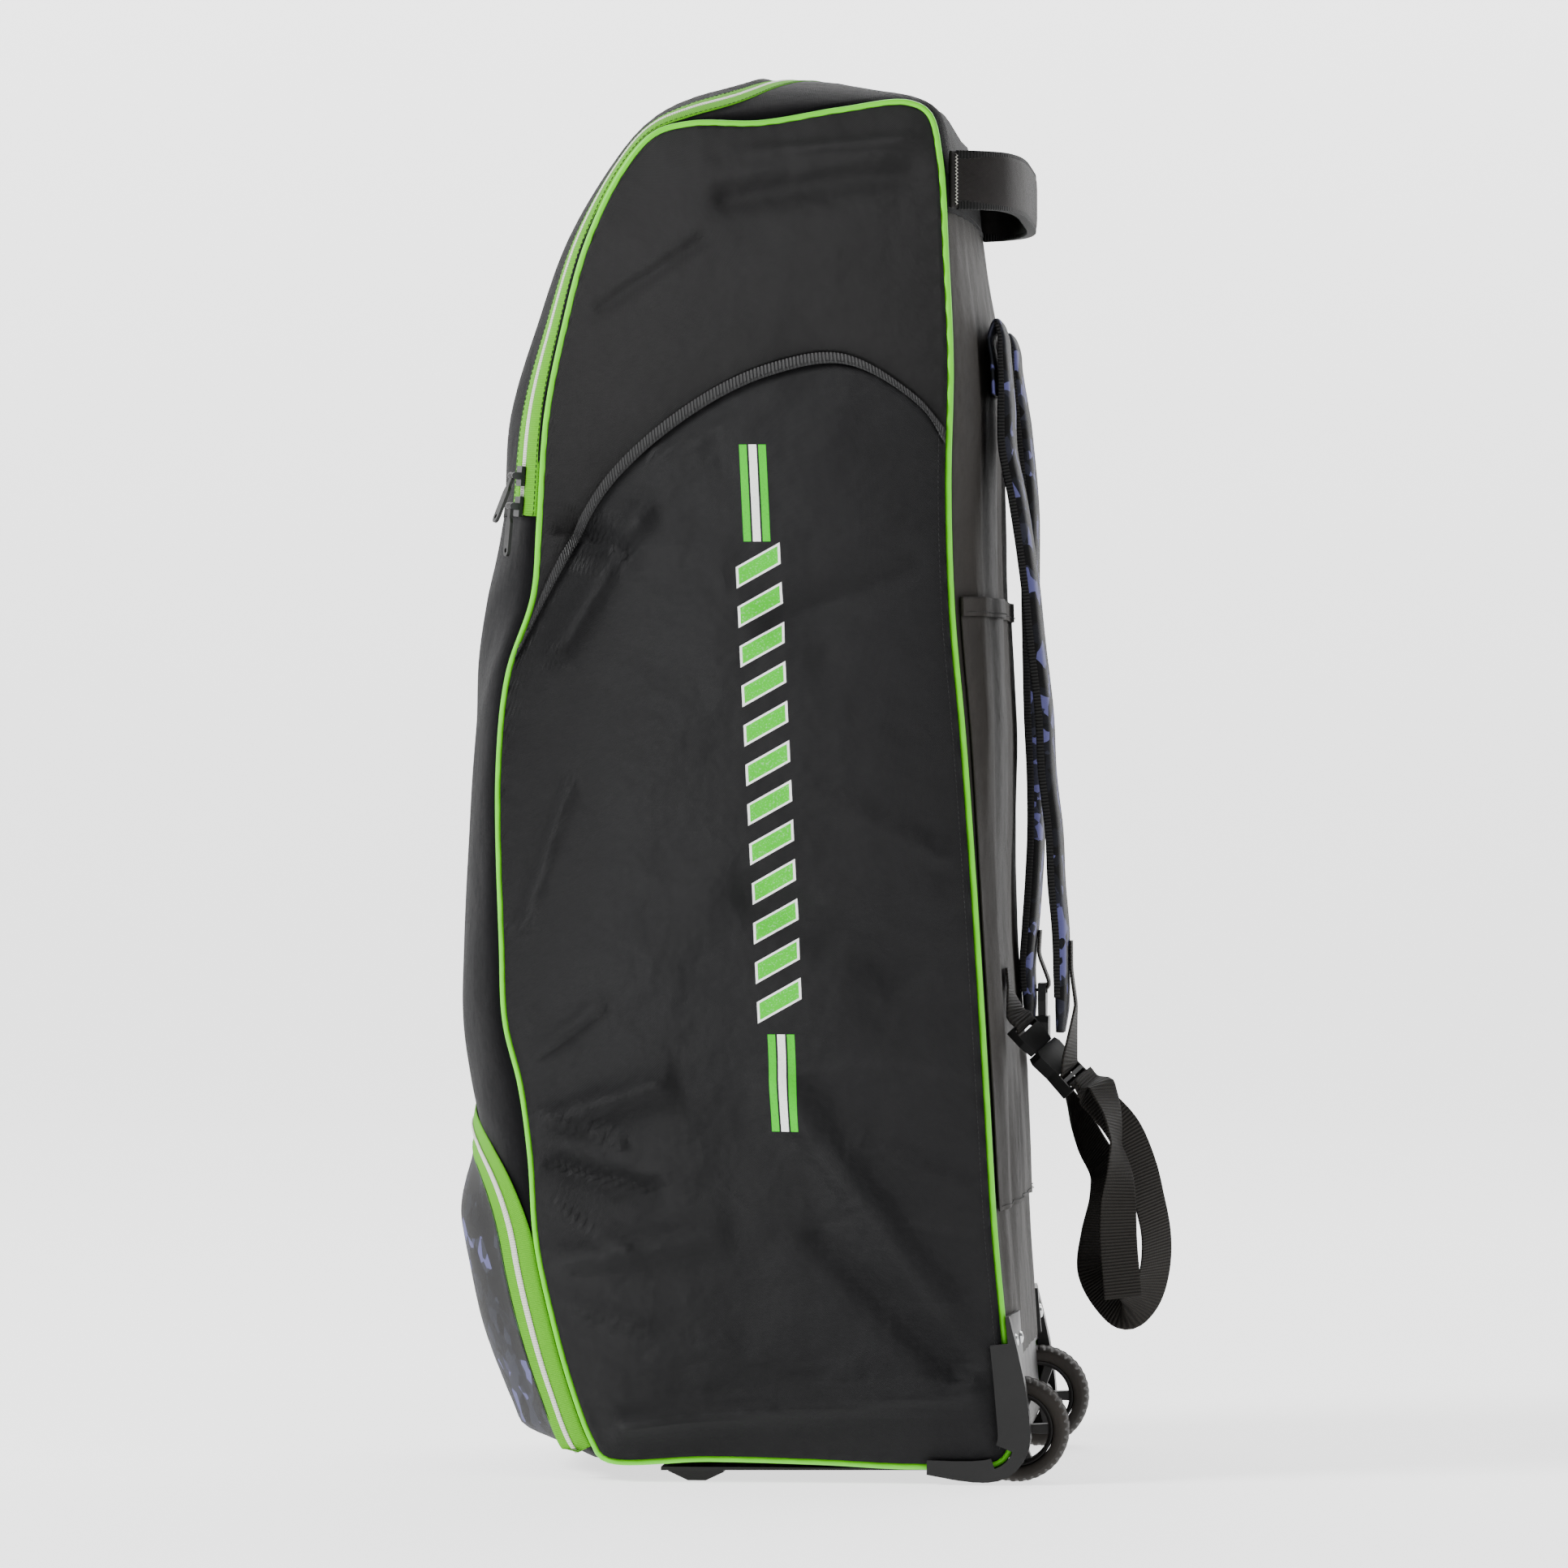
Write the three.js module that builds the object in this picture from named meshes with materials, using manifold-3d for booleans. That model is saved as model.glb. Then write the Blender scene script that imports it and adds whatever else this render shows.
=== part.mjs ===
// Wheeled cricket kit bag, standing on its two wheels and two front feet.
// Millimetres: +X towards the back and the wheels, +Y towards the bag's left, +Z up.
import * as THREE from "three";
import { mergeVertices } from "three/addons/utils/BufferGeometryUtils.js";
import Module from "manifold-3d";

const wasm = await Module();
wasm.setup();

// Main body
const bagWidth = 350; // between the pipings of the two side panels
const sideDepth = 331; // side panel, front to back
const sideHeight = 876; // side panel, lowest to highest piping
const pipingHeight = 11.5; // lowest piping above the floor
const pipingRadius = 2.2;
const clothWall = 2;
const sideCrown = 11; // how far a side panel bellies out
const gap = 0.3; // between touching pieces
const hemWidth = 7;
const hemWall = 1.4;
const pocketWall = 1.4;

// Zips
const coilWidth = 6.5;
const coilWall = 2.4;
const tapeWidth = 14;
const tapeWall = 1;
const zipFoot = 622; // lower end of the main zip above the floor
const zipEdge = 20; // main zip to the side seam
const zipTurn = 62; // where the main zip leaves the side seam, ahead of the middle
const zipCrest = 27; // where it crosses the top, behind the middle
const lidSwell = 2.5; // the lid stands this proud of its tape
const pocketFoot = 24; // front pocket's lower edge above the floor
const pocketTurn = 150; // height where its zip starts to arch
const pocketCrest = 234; // top of its arch
const pocketEdge = 15.5; // its zip to the side seam
const pocketDepth = 25; // how far the pocket stands out of the front panel
const sliderLength = 13;
const sliderWidth = 9;
const sliderWall = 2.4;
const lugRise = 4.2;
const lugRadius = 2.2;
const pinRadius = 0.9;
const pullLength = 33;
const pullWidth = 8;
const pullWall = 2;
const pullEye = 1.8;
const upperSlider = 648; // heights of the two main sliders above the floor
const lowerSlider = 628;
const pocketSlider = 40; // the pocket's slider above the pocket's lower edge

// Back
const yokeSeam = 820; // back seams above the floor
const strapSeam = 703;
const slipMouth = 573;
const slipHem = 11.5;
const slipFoot = 177;
const backFoot = 78;
const handleHeight = 841;
const handleWidth = 37;
const handleWall = 8;
const handleReach = 46; // how far the haul handle stands off the back
const strapSpread = 85; // shoulder strap's middle to the bag's middle
const strapWidth = 62;
const strapTop = 751;
const strapDrop = 481;
const strapReach = 47;
const strapWall = 10.5;
const webbingWidth = 25;
const webbingWall = 1.8;
const buckleWidth = 31;
const buckleWall = 9;
const buckleLength = 56;
const anchorRise = 25.7; // webbing's foot on the back above the straps' tips

// Base, wheels and guards
const wheelRadius = 34;
const wheelWidth = 30;
const wheelInset = 29; // wheel's middle inside the side piping
const wheelSpread = bagWidth / 2 - wheelInset;
const rimRadius = 24;
const hubRadius = 9.5;
const axleRadius = 4;
const axleClearance = 0.4;
const axleSetback = 2; // axle behind the rearmost piping line
const wellClearance = 4;
const mouldWall = 3;
const trayDrop = 4.5; // moulded base below the piping line
const trayFront = 104; // its front edge behind the front of the side panel
const footLength = 36;
const footWidth = 54;
const footInset = 43; // foot's middle inside the side piping
const footSpread = bagWidth / 2 - footInset;
const footFront = 108; // foot's front edge behind the front of the side panel
const guardTop = 110; // corner guard's upper end above the floor
const guardReach = 12;
const guardLip = 9;
const guardWall = 2.5;
const guardLength = 52; // guard's run along the bottom, ahead of the rear corner
const rivetRadius = 4.2;

// Side outline from the bottom front corner up the front, over the top, down the back and along the bottom.
// across and up are shares of sideDepth and sideHeight; bulge, a share of bagWidth, is how far the
// cloth between the two sides stands out of the outline.
const outlineRows = [
  { across: 0.216, up: 0.003, bulge: 0.008 },
  { across: 0.183, up: 0.017, bulge: 0.072 },
  { across: 0.143, up: 0.057, bulge: 0.086 },
  { across: 0.104, up: 0.11, bulge: 0.1 },
  { across: 0.074, up: 0.164, bulge: 0.103 },
  { across: 0.062, up: 0.227, bulge: 0.12 },
  { across: 0.0435, up: 0.278, bulge: 0.132 },
  { across: 0.0133, up: 0.325, bulge: 0.12 },
  { across: 0.0064, up: 0.381, bulge: 0.115 },
  { across: 0, up: 0.512, bulge: 0.083 },
  { across: 0.019, up: 0.581, bulge: 0.09 },
  { across: 0.068, up: 0.638, bulge: 0.124 },
  { across: 0.08, up: 0.695, bulge: 0.108 },
  { across: 0.095, up: 0.7725, bulge: 0.097 },
  { across: 0.128, up: 0.835, bulge: 0.077 },
  { across: 0.1735, up: 0.898, bulge: 0.062 },
  { across: 0.243, up: 0.952, bulge: 0.048 },
  { across: 0.3035, up: 0.978, bulge: 0.052 },
  { across: 0.376, up: 0.9857, bulge: 0.075 },
  { across: 0.51, up: 0.9857, bulge: 0.108 },
  { across: 0.668, up: 0.995, bulge: 0.078 },
  { across: 0.7995, up: 1, bulge: 0.028 },
  { across: 0.839, up: 0.992, bulge: 0.022 },
  { across: 0.86, up: 0.96, bulge: 0.024 },
  { across: 0.872, up: 0.889, bulge: 0.036 },
  { across: 0.881, up: 0.809, bulge: 0.05 },
  { across: 0.8766, up: 0.718, bulge: 0.058 },
  { across: 0.884, up: 0.626, bulge: 0.056 },
  { across: 0.905, up: 0.535, bulge: 0.045 },
  { across: 0.9295, up: 0.4037, bulge: 0.02 },
  { across: 0.9507, up: 0.2724, bulge: 0.02 },
  { across: 0.966, up: 0.175, bulge: 0.016 },
  { across: 0.984, up: 0.101, bulge: 0.016 },
  { across: 0.9991, up: 0.038, bulge: 0.014 },
  { across: 1, up: 0.0166, bulge: 0.012 },
  { across: 0.975, up: 0.003, bulge: 0.006 },
  { across: 0.815, up: 0, bulge: 0.001 },
  { across: 0.618, up: 0.003, bulge: 0.001 },
  { across: 0.406, up: 0.0046, bulge: 0.001 },
];

// Mouth of the side pocket, between the front and back pipings, as shares of the side panel.
const mouthRows = [
  { across: 0.015, up: 0.602 },
  { across: 0.116, up: 0.664 },
  { across: 0.2195, up: 0.729 },
  { across: 0.377, up: 0.78 },
  { across: 0.532, up: 0.8085 },
  { across: 0.6746, up: 0.8157 },
  { across: 0.8167, up: 0.7846 },
  { across: 0.8766, up: 0.761 },
];

// Folds and dents of a side panel: a line between two points, shares of the side panel,
// with its width a share of sideDepth and its rise a share of bagWidth.
const sideFolds = [
  { fromAcross: 0.1, fromUp: 0.69, toAcross: 0.24, toUp: 0.67, width: 0.06, rise: -0.014 },
  { fromAcross: 0.12, fromUp: 0.6, toAcross: 0.28, toUp: 0.7, width: 0.05, rise: 0.008 },
  { fromAcross: 0.06, fromUp: 0.25, toAcross: 0.32, toUp: 0.28, width: 0.045, rise: 0.012 },
  { fromAcross: 0.1, fromUp: 0.22, toAcross: 0.3, toUp: 0.2, width: 0.045, rise: -0.012 },
  { fromAcross: 0.1, fromUp: 0.15, toAcross: 0.42, toUp: 0.17, width: 0.06, rise: 0.009 },
  { fromAcross: 0.55, fromUp: 0.28, toAcross: 0.86, toUp: 0.12, width: 0.07, rise: 0.012 },
  { fromAcross: 0.62, fromUp: 0.17, toAcross: 0.9, toUp: 0.07, width: 0.05, rise: -0.01 },
  { fromAcross: 0.25, fromUp: 0.03, toAcross: 0.92, toUp: 0.055, width: 0.05, rise: 0.012 },
  { fromAcross: 0.5, fromUp: 0.42, toAcross: 0.8, toUp: 0.36, width: 0.08, rise: -0.009 },
  { fromAcross: 0.55, fromUp: 0.62, toAcross: 0.8, toUp: 0.66, width: 0.07, rise: -0.008 },
  { fromAcross: 0.45, fromUp: 0.93, toAcross: 0.8, toUp: 0.95, width: 0.06, rise: -0.008 },
];

// Gathers of the back: share of the half width each runs up, its width and its rise, shares of bagWidth.
const backFolds = [
  { across: -0.78, width: 0.06, rise: 0.007 },
  { across: -0.35, width: 0.09, rise: 0.006 },
  { across: 0.1, width: 0.08, rise: 0.005 },
  { across: 0.5, width: 0.09, rise: 0.006 },
  { across: 0.84, width: 0.05, rise: 0.006 },
];

// Shoulder straps from the back seam up, over and down: drop is a share of strapDrop below strapTop,
// right and left are shares of strapReach off the back piping, over and wall are shares of strapWall.
// over keeps the strap clear of its own root, where it comes down in front of it.
const strapRows = [
  { drop: 0.1, right: 0, left: 0, over: 0, wall: 0.3 },
  { drop: 0.055, right: 0, left: 0, over: 0, wall: 0.3 },
  { drop: 0.02, right: 0, left: 0, over: 0, wall: 0.3 },
  { drop: 0, right: 0, left: 0, over: 0.26, wall: 0.4 },
  { drop: 0.018, right: 0.27, left: 0.375, over: 0.48, wall: 0.5 },
  { drop: 0.046, right: 0.4, left: 0.53, over: 0.44, wall: 0.62 },
  { drop: 0.094, right: 0.49, left: 0.69, over: 0.42, wall: 0.8 },
  { drop: 0.118, right: 0.56, left: 0.72, over: 0.36, wall: 0.95 },
  { drop: 0.172, right: 0.72, left: 0.79, over: 0, wall: 1 },
  { drop: 0.243, right: 0.87, left: 0.855, over: 0, wall: 1 },
  { drop: 0.349, right: 1, left: 0.83, over: 0, wall: 1 },
  { drop: 0.43, right: 1.04, left: 0.8, over: 0, wall: 1 },
  { drop: 0.53, right: 1.06, left: 0.725, over: 0, wall: 1 },
  { drop: 0.61, right: 1.04, left: 0.7, over: 0, wall: 0.98 },
  { drop: 0.692, right: 1.07, left: 0.64, over: 0, wall: 0.96 },
  { drop: 0.76, right: 1.06, left: 0.565, over: 0, wall: 0.95 },
  { drop: 0.825, right: 1.07, left: 0.47, over: 0, wall: 0.92 },
  { drop: 0.88, right: 1.05, left: 0.385, over: 0, wall: 0.85 },
  { drop: 0.93, right: 1.02, left: 0.315, over: 0, wall: 0.75 },
  { drop: 0.962, right: 0.98, left: 0.3, over: 0, wall: 0.5 },
];

// Materials
const finish = (color, roughness, metalness = 0) =>
  new THREE.MeshStandardMaterial({ color, roughness, metalness });
const blackCloth = finish(0x2b2b2d, 0.85);
const greyCloth = finish(0x3d3b3a, 0.9);
const facetCloth = finish(0x33343c, 0.8);
const hemCloth = finish(0x262626, 0.95);
const limePiping = finish(0x86d420, 0.45);
const greenTape = finish(0x8bcf5c, 0.85);
const ivoryCoil = finish(0xdfe0d4, 0.5);
const blackWebbing = finish(0x2e2b29, 0.9);
const blackMoulding = finish(0x1f1d1c, 0.5);
const tyreRubber = finish(0x29241f, 0.75);
const darkMetal = finish(0x202122, 0.35, 0.8);
const silverMetal = finish(0xc9cbcc, 0.3, 0.9);

const group = new THREE.Group();

function addPiece(name, geometry, material) {
  const piece = new THREE.Mesh(geometry, material);
  piece.name = name;
  group.add(piece);
  return piece;
}

// Closed meshes from rows of points
function closedGeometry(points, faces) {
  let volume = 0;
  for (const [a, b, c] of faces) {
    volume += points[a].dot(points[b].clone().cross(points[c]));
  }
  const geometry = new THREE.BufferGeometry();
  geometry.setAttribute(
    "position",
    new THREE.Float32BufferAttribute(points.flatMap((point) => point.toArray()), 3),
  );
  geometry.setIndex(faces.flatMap(([a, b, c]) => (volume < 0 ? [a, c, b] : [a, b, c])));
  geometry.computeVertexNormals();
  return geometry;
}

// A sheet with an outer and an inner grid of points of the same size.
function sheetGeometry(outer, inner) {
  const rows = outer.length;
  const columns = outer[0].length;
  const top = (row, column) => row * columns + column;
  const under = (row, column) => (rows + row) * columns + column;
  const faces = [];
  const quad = (a, b, c, d) => faces.push([a, b, c], [a, c, d]);
  const lastRow = rows - 1;
  const lastColumn = columns - 1;
  for (let r = 0; r < lastRow; r++) {
    for (let c = 0; c < lastColumn; c++) {
      quad(top(r, c), top(r, c + 1), top(r + 1, c + 1), top(r + 1, c));
      quad(under(r, c), under(r + 1, c), under(r + 1, c + 1), under(r, c + 1));
    }
    quad(top(r, 0), top(r + 1, 0), under(r + 1, 0), under(r, 0));
    quad(top(r, lastColumn), under(r, lastColumn), under(r + 1, lastColumn), top(r + 1, lastColumn));
  }
  for (let c = 0; c < lastColumn; c++) {
    quad(top(0, c), under(0, c), under(0, c + 1), top(0, c + 1));
    quad(top(lastRow, c), top(lastRow, c + 1), under(lastRow, c + 1), under(lastRow, c));
  }
  return closedGeometry([...outer.flat(), ...inner.flat()], faces);
}

// A bar or tube through rings of points, looped or with flat ends. Opposite faces of a flat band are
// split along the same diagonal, so that it stays thick where it twists.
function ringGeometry(rings, looped = false) {
  const count = rings[0].length;
  const last = rings.length - 1;
  const at = (ring, corner) => (ring % rings.length) * count + (corner % count);
  const faces = [];
  for (let r = 0; r < (looped ? rings.length : last); r++) {
    for (let k = 0; k < count; k++) {
      const [a, b, c, d] = [at(r, k), at(r, k + 1), at(r + 1, k + 1), at(r + 1, k)];
      if (k < count / 2) faces.push([a, b, c], [a, c, d]);
      else faces.push([a, b, d], [b, c, d]);
    }
  }
  for (let k = 1; !looped && k < count - 1; k++) {
    faces.push([at(0, 0), at(0, k + 1), at(0, k)], [at(last, 0), at(last, k), at(last, k + 1)]);
  }
  return closedGeometry(rings.flat(), faces);
}

// Solids for cutting and joining
function toSolid(geometry) {
  const bare = geometry.clone();
  bare.deleteAttribute("normal");
  bare.deleteAttribute("uv");
  const merged = mergeVertices(bare, 1e-4);
  return new wasm.Manifold(
    new wasm.Mesh({
      numProp: 3,
      vertProperties: new Float32Array(merged.attributes.position.array),
      triVerts: new Uint32Array(merged.index.array),
    }),
  );
}

function toGeometry(solid) {
  const mesh = solid.getMesh();
  const geometry = new THREE.BufferGeometry();
  geometry.setAttribute("position", new THREE.BufferAttribute(new Float32Array(mesh.vertProperties), 3));
  geometry.setIndex(new THREE.BufferAttribute(new Uint32Array(mesh.triVerts), 1));
  geometry.computeVertexNormals();
  return geometry;
}

// A side-view polygon of {x, z} points, drawn out along Y between two values.
function prism(polygon, low, high) {
  const shape = new THREE.Shape(polygon.map(({ x, z }) => new THREE.Vector2(x, z)));
  return new THREE.ExtrudeGeometry(shape, { depth: high - low, bevelEnabled: false })
    .rotateX(Math.PI / 2)
    .translate(0, high, 0);
}

function crossBar(radius, low, high, x, z, sides) {
  return new THREE.CylinderGeometry(radius, radius, high - low, sides).translate(x, (low + high) / 2, z);
}

// Outline, worked out once as closely spaced samples with the length run so far
const samplesPerRow = 24;
const outline = new THREE.CatmullRomCurve3(
  outlineRows.map(
    ({ across, up, bulge }) =>
      new THREE.Vector3((across - 0.5) * sideDepth, pipingHeight + up * sideHeight, bulge * bagWidth),
  ),
  true,
  "centripetal",
);
const track = [];
for (let k = 0; k <= outlineRows.length * samplesPerRow; k++) {
  const point = outline.getPoint((k / (outlineRows.length * samplesPerRow)) % 1);
  const before = track[k - 1];
  const run = before ? before.run + Math.hypot(point.x - before.x, point.y - before.z) : 0;
  track.push({ x: point.x, z: point.y, bulge: point.z, run });
}
const outlineLength = track[track.length - 1].run;

function outlineAt(run) {
  const wanted = ((run % outlineLength) + outlineLength) % outlineLength;
  let low = 0;
  let high = track.length - 1;
  while (high - low > 1) {
    const middle = (low + high) >> 1;
    if (track[middle].run > wanted) high = middle;
    else low = middle;
  }
  const a = track[low];
  const b = track[high];
  const t = (wanted - a.run) / (b.run - a.run);
  return {
    x: THREE.MathUtils.lerp(a.x, b.x, t),
    z: THREE.MathUtils.lerp(a.z, b.z, t),
    bulge: THREE.MathUtils.lerp(a.bulge, b.bulge, t),
  };
}

// Outward direction of the outline, averaged over a short run.
function outwardAt(run) {
  const reach = 4;
  const before = outlineAt(run - reach);
  const after = outlineAt(run + reach);
  const length = Math.hypot(after.x - before.x, after.z - before.z);
  return { x: (before.z - after.z) / length, z: (after.x - before.x) / length };
}

const crestRun = track.reduce((best, sample) => (sample.z > best.z ? sample : best)).run;
const cornerRun = track.reduce((best, sample) => (sample.x > best.x ? sample : best)).run;
const firstAfter = (start, test) => track.find((sample) => sample.run >= start && test(sample)).run;
const frontRun = (z) => firstAfter(0, (sample) => sample.z >= z);
const backRun = (z) => firstAfter(crestRun, (sample) => sample.z <= z);
const topRun = (x) => firstAfter(frontRun(pipingHeight + sideHeight * 0.9), (sample) => sample.x >= x);
const bottomRun = (x) => firstAfter(cornerRun, (sample) => sample.x <= x);

// Runs between two places along the outline, closer together where it bends.
function stations(from, to, longest = 62, sharpest = 0.4) {
  const pieces = 400;
  const totals = [0];
  for (let k = 1; k <= pieces; k++) {
    const a = outwardAt(from + ((to - from) * (k - 1)) / pieces);
    const b = outwardAt(from + ((to - from) * k) / pieces);
    const turn = Math.acos(Math.min(1, a.x * b.x + a.z * b.z));
    totals.push(totals[k - 1] + Math.abs(to - from) / pieces / longest + turn / sharpest);
  }
  const count = Math.max(1, Math.ceil(totals[pieces]));
  return Array.from({ length: count + 1 }, (_, n) => {
    const k = totals.findIndex((total) => total >= (totals[pieces] * n) / count - 1e-9);
    return n === count ? to : from + ((to - from) * k) / pieces;
  });
}

// Section of the cloth between the two sides: flat-topped, steep at the seams.
const clothHalf = bagWidth / 2 - pipingRadius - clothWall / 2 - gap;
const crownPower = 2.4;
const crownRoot = 0.6;
const crown = (v) => Math.pow(Math.max(0, 1 - Math.pow(Math.abs(v), crownPower)), crownRoot);

// Points of a half section from the middle to the seam, with the length run so far.
function halfSection(bulge) {
  const steps = 40;
  const points = [];
  for (let k = 0; k <= steps; k++) {
    const v = Math.sin((k / steps) * (Math.PI / 2));
    const y = v * clothHalf;
    const out = bulge * crown(v);
    const before = points[k - 1];
    points.push({ y, out, run: before ? before.run + Math.hypot(y - before.y, out - before.out) : 0 });
  }
  return points;
}
const girthCache = new Map();
function sectionAt(run) {
  const key = Math.round(run * 10);
  if (!girthCache.has(key)) girthCache.set(key, halfSection(outlineAt(run).bulge));
  return girthCache.get(key);
}
const halfGirth = (run) => sectionAt(run)[sectionAt(run).length - 1].run;

// Point of the cloth: run along the outline, side millimetres from the middle line (right is negative),
// lift out of the cloth's middle surface.
function clothPoint(run, side, lift = 0) {
  const section = sectionAt(run);
  const wanted = Math.min(Math.abs(side), halfGirth(run));
  let k = section.findIndex((point) => point.run >= wanted - 1e-9);
  k = Math.max(1, k);
  const a = section[k - 1];
  const b = section[k];
  const t = (wanted - a.run) / (b.run - a.run);
  const length = Math.hypot(b.y - a.y, b.out - a.out);
  const sign = side < 0 ? -1 : 1;
  const out = THREE.MathUtils.lerp(a.out, b.out, t) + ((b.y - a.y) / length) * lift;
  const y = sign * (THREE.MathUtils.lerp(a.y, b.y, t) - ((b.out - a.out) / length) * lift);
  const base = outlineAt(run);
  const outward = outwardAt(run);
  return new THREE.Vector3(base.x + outward.x * out, y, base.z + outward.z * out);
}

// Sheet over a grid of {run, side, lift} places.
function clothSheet(grid, wall) {
  const shifted = (offset) =>
    grid.map((row) => row.map(({ run, side, lift = 0 }) => clothPoint(run, side, lift + offset)));
  return sheetGeometry(shifted(wall / 2), shifted(-wall / 2));
}

const columnShares = (count) =>
  Array.from({ length: count + 1 }, (_, k) => {
    const share = (2 * k) / count - 1;
    return Math.sign(share) * Math.pow(Math.abs(share), 0.8);
  });

// A full-width panel between two runs.
function panelGrid(from, to, columns, lift = () => 0, longest = 62) {
  return stations(from, to, longest).map((run) =>
    columnShares(columns).map((share) => ({ run, side: share * halfGirth(run), lift: lift(run, share) })),
  );
}

const smooth = (t) => t * t * (3 - 2 * t);
const clamp01 = (t) => Math.min(1, Math.max(0, t));

// Zip paths: up the right seam, across in an arch and down the left seam, as {run, side} places.
function archPath(from, turn, crest, edge, legSteps, archSteps) {
  const path = [];
  for (let k = 0; k < legSteps; k++) {
    const run = from + ((turn - from) * k) / legSteps;
    path.push({ run, side: edge - halfGirth(run) });
  }
  for (let k = 0; k <= archSteps; k++) {
    const angle = (k / archSteps) * (Math.PI / 2);
    const run = turn + (crest - turn) * Math.sin(angle);
    path.push({ run, side: (edge - halfGirth(run)) * Math.cos(angle) });
  }
  const back = path.slice(0, -1).reverse();
  path[path.length - 1].side = 0;
  return [...path, ...back.map(({ run, side }) => ({ run, side: -side }))];
}

// The same path moved outwards, towards the seams, by a distance.
function beside(path, distance) {
  return path.map((place, k) => {
    const before = path[Math.max(0, k - 1)];
    const after = path[Math.min(path.length - 1, k + 1)];
    const length = Math.hypot(after.run - before.run, after.side - before.side);
    const end = k === 0 || k === path.length - 1;
    const alongRun = end ? 0 : (after.side - before.side) / length;
    const alongSide = end ? Math.sign(place.side) : -(after.run - before.run) / length;
    return { run: place.run + alongRun * distance, side: place.side + alongSide * distance };
  });
}

// A strip between two such paths, with a lift at each edge.
function stripGeometry(outerPath, innerPath, outerLift, innerLift, wall) {
  const grid = outerPath.map((place, k) => [
    { ...place, lift: outerLift },
    { ...innerPath[k], lift: innerLift },
  ]);
  return clothSheet(grid, wall);
}

const halfCoil = coilWidth / 2;

// Main zip
const zipFrom = frontRun(zipFoot);
const zipLegSteps = 6;
const zipPath = archPath(zipFrom, topRun(-zipTurn), topRun(zipCrest), zipEdge, zipLegSteps, 8);
const zipReach = halfCoil + gap;
addPiece(
  "zip_coil",
  stripGeometry(beside(zipPath, halfCoil), beside(zipPath, -halfCoil), 0.4, 0.4, coilWall),
  ivoryCoil,
);
addPiece(
  "zip_tape_body",
  stripGeometry(beside(zipPath, zipReach + tapeWidth), beside(zipPath, zipReach), 0, 0, tapeWall),
  greenTape,
);
addPiece(
  "zip_tape_lid",
  stripGeometry(beside(zipPath, -zipReach), beside(zipPath, -zipReach - tapeWidth), 0, 0, tapeWall),
  greenTape,
);

// Lid: the flap inside the zip's arch, over a grid between its foot, its two sides and its top.
const lidEdge = beside(zipPath, -zipReach - tapeWidth - 3 * gap);

function placeOn(path, share) {
  const position = clamp01(share) * (path.length - 1);
  const k = Math.min(path.length - 2, Math.floor(position));
  const t = position - k;
  return {
    run: THREE.MathUtils.lerp(path[k].run, path[k + 1].run, t),
    side: THREE.MathUtils.lerp(path[k].side, path[k + 1].side, t),
  };
}

// Grid inside an arch: its lower corners are the path's ends and its upper corners lie on the arch.
function archGrid(path, corner, rows, columns, lift) {
  const first = path[0];
  const last = path[path.length - 1];
  const mixed = (a, b, t) => ({
    run: THREE.MathUtils.lerp(a.run, b.run, t),
    side: THREE.MathUtils.lerp(a.side, b.side, t),
  });
  const lower = (s) => mixed(first, last, s);
  const upper = (s) => placeOn(path, corner + (1 - 2 * corner) * s);
  const right = (t) => placeOn(path, corner * t);
  const left = (t) => placeOn(path, 1 - corner * t);
  const grid = [];
  for (let r = 0; r <= rows; r++) {
    const t = r / rows;
    const row = [];
    for (let c = 0; c <= columns; c++) {
      const s = c / columns;
      const across = mixed(right(t), left(t), s);
      const upwards = mixed(lower(s), upper(s), t);
      const corners = mixed(mixed(lower(0), lower(1), s), mixed(upper(0), upper(1), s), t);
      row.push({
        run: across.run + upwards.run - corners.run,
        side: across.side + upwards.side - corners.side,
        lift: lift(s, t),
      });
    }
    grid.push(row);
  }
  return grid;
}

const zipCorner = 0.4;
const lidLift = (s, t) =>
  lidSwell * smooth(clamp01(Math.min(s, 1 - s) * 8)) * smooth(clamp01(Math.min(t, 1 - t) * 8));
addPiece("lid", clothSheet(archGrid(lidEdge, zipCorner, 10, 7, lidLift), clothWall), blackCloth);

// Yoke: the cloth between the zip and the seams, over the top and down to the back seam.
const yokeTo = backRun(yokeSeam);
const yokeInner = beside(zipPath, zipReach + tapeWidth + gap);
const yokeColumns = 3;
const yokeHalfTurn = 0.62;

function yokeOuter(k) {
  const middle = (zipPath.length - 1) / 2;
  const share = 1 - Math.abs(k - middle) / middle;
  const sign = k < middle ? -1 : 1;
  const legShare = zipLegSteps / middle;
  if (share <= legShare) {
    const run = yokeInner[k].run;
    return { run, side: sign * halfGirth(run) };
  }
  const bend = (share - legShare) / (1 - legShare);
  const start = yokeInner[zipLegSteps].run;
  if (bend <= yokeHalfTurn) {
    const run = THREE.MathUtils.lerp(start, yokeTo, bend / yokeHalfTurn);
    return { run, side: sign * halfGirth(run) };
  }
  return { run: yokeTo, side: sign * halfGirth(yokeTo) * (1 - (bend - yokeHalfTurn) / (1 - yokeHalfTurn)) };
}
const yokeGrid = yokeInner.map((inner, k) => {
  const outer = yokeOuter(k);
  return Array.from({ length: yokeColumns + 1 }, (_, c) => ({
    run: THREE.MathUtils.lerp(outer.run, inner.run, c / yokeColumns),
    side: THREE.MathUtils.lerp(outer.side, inner.side, c / yokeColumns),
  }));
});
addPiece("top_yoke", clothSheet(yokeGrid, clothWall), blackCloth);

// Front panel, from the bottom front corner to the foot of the zip
addPiece("front_panel", clothSheet(panelGrid(0, zipFrom - gap, 8), clothWall), blackCloth);

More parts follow.
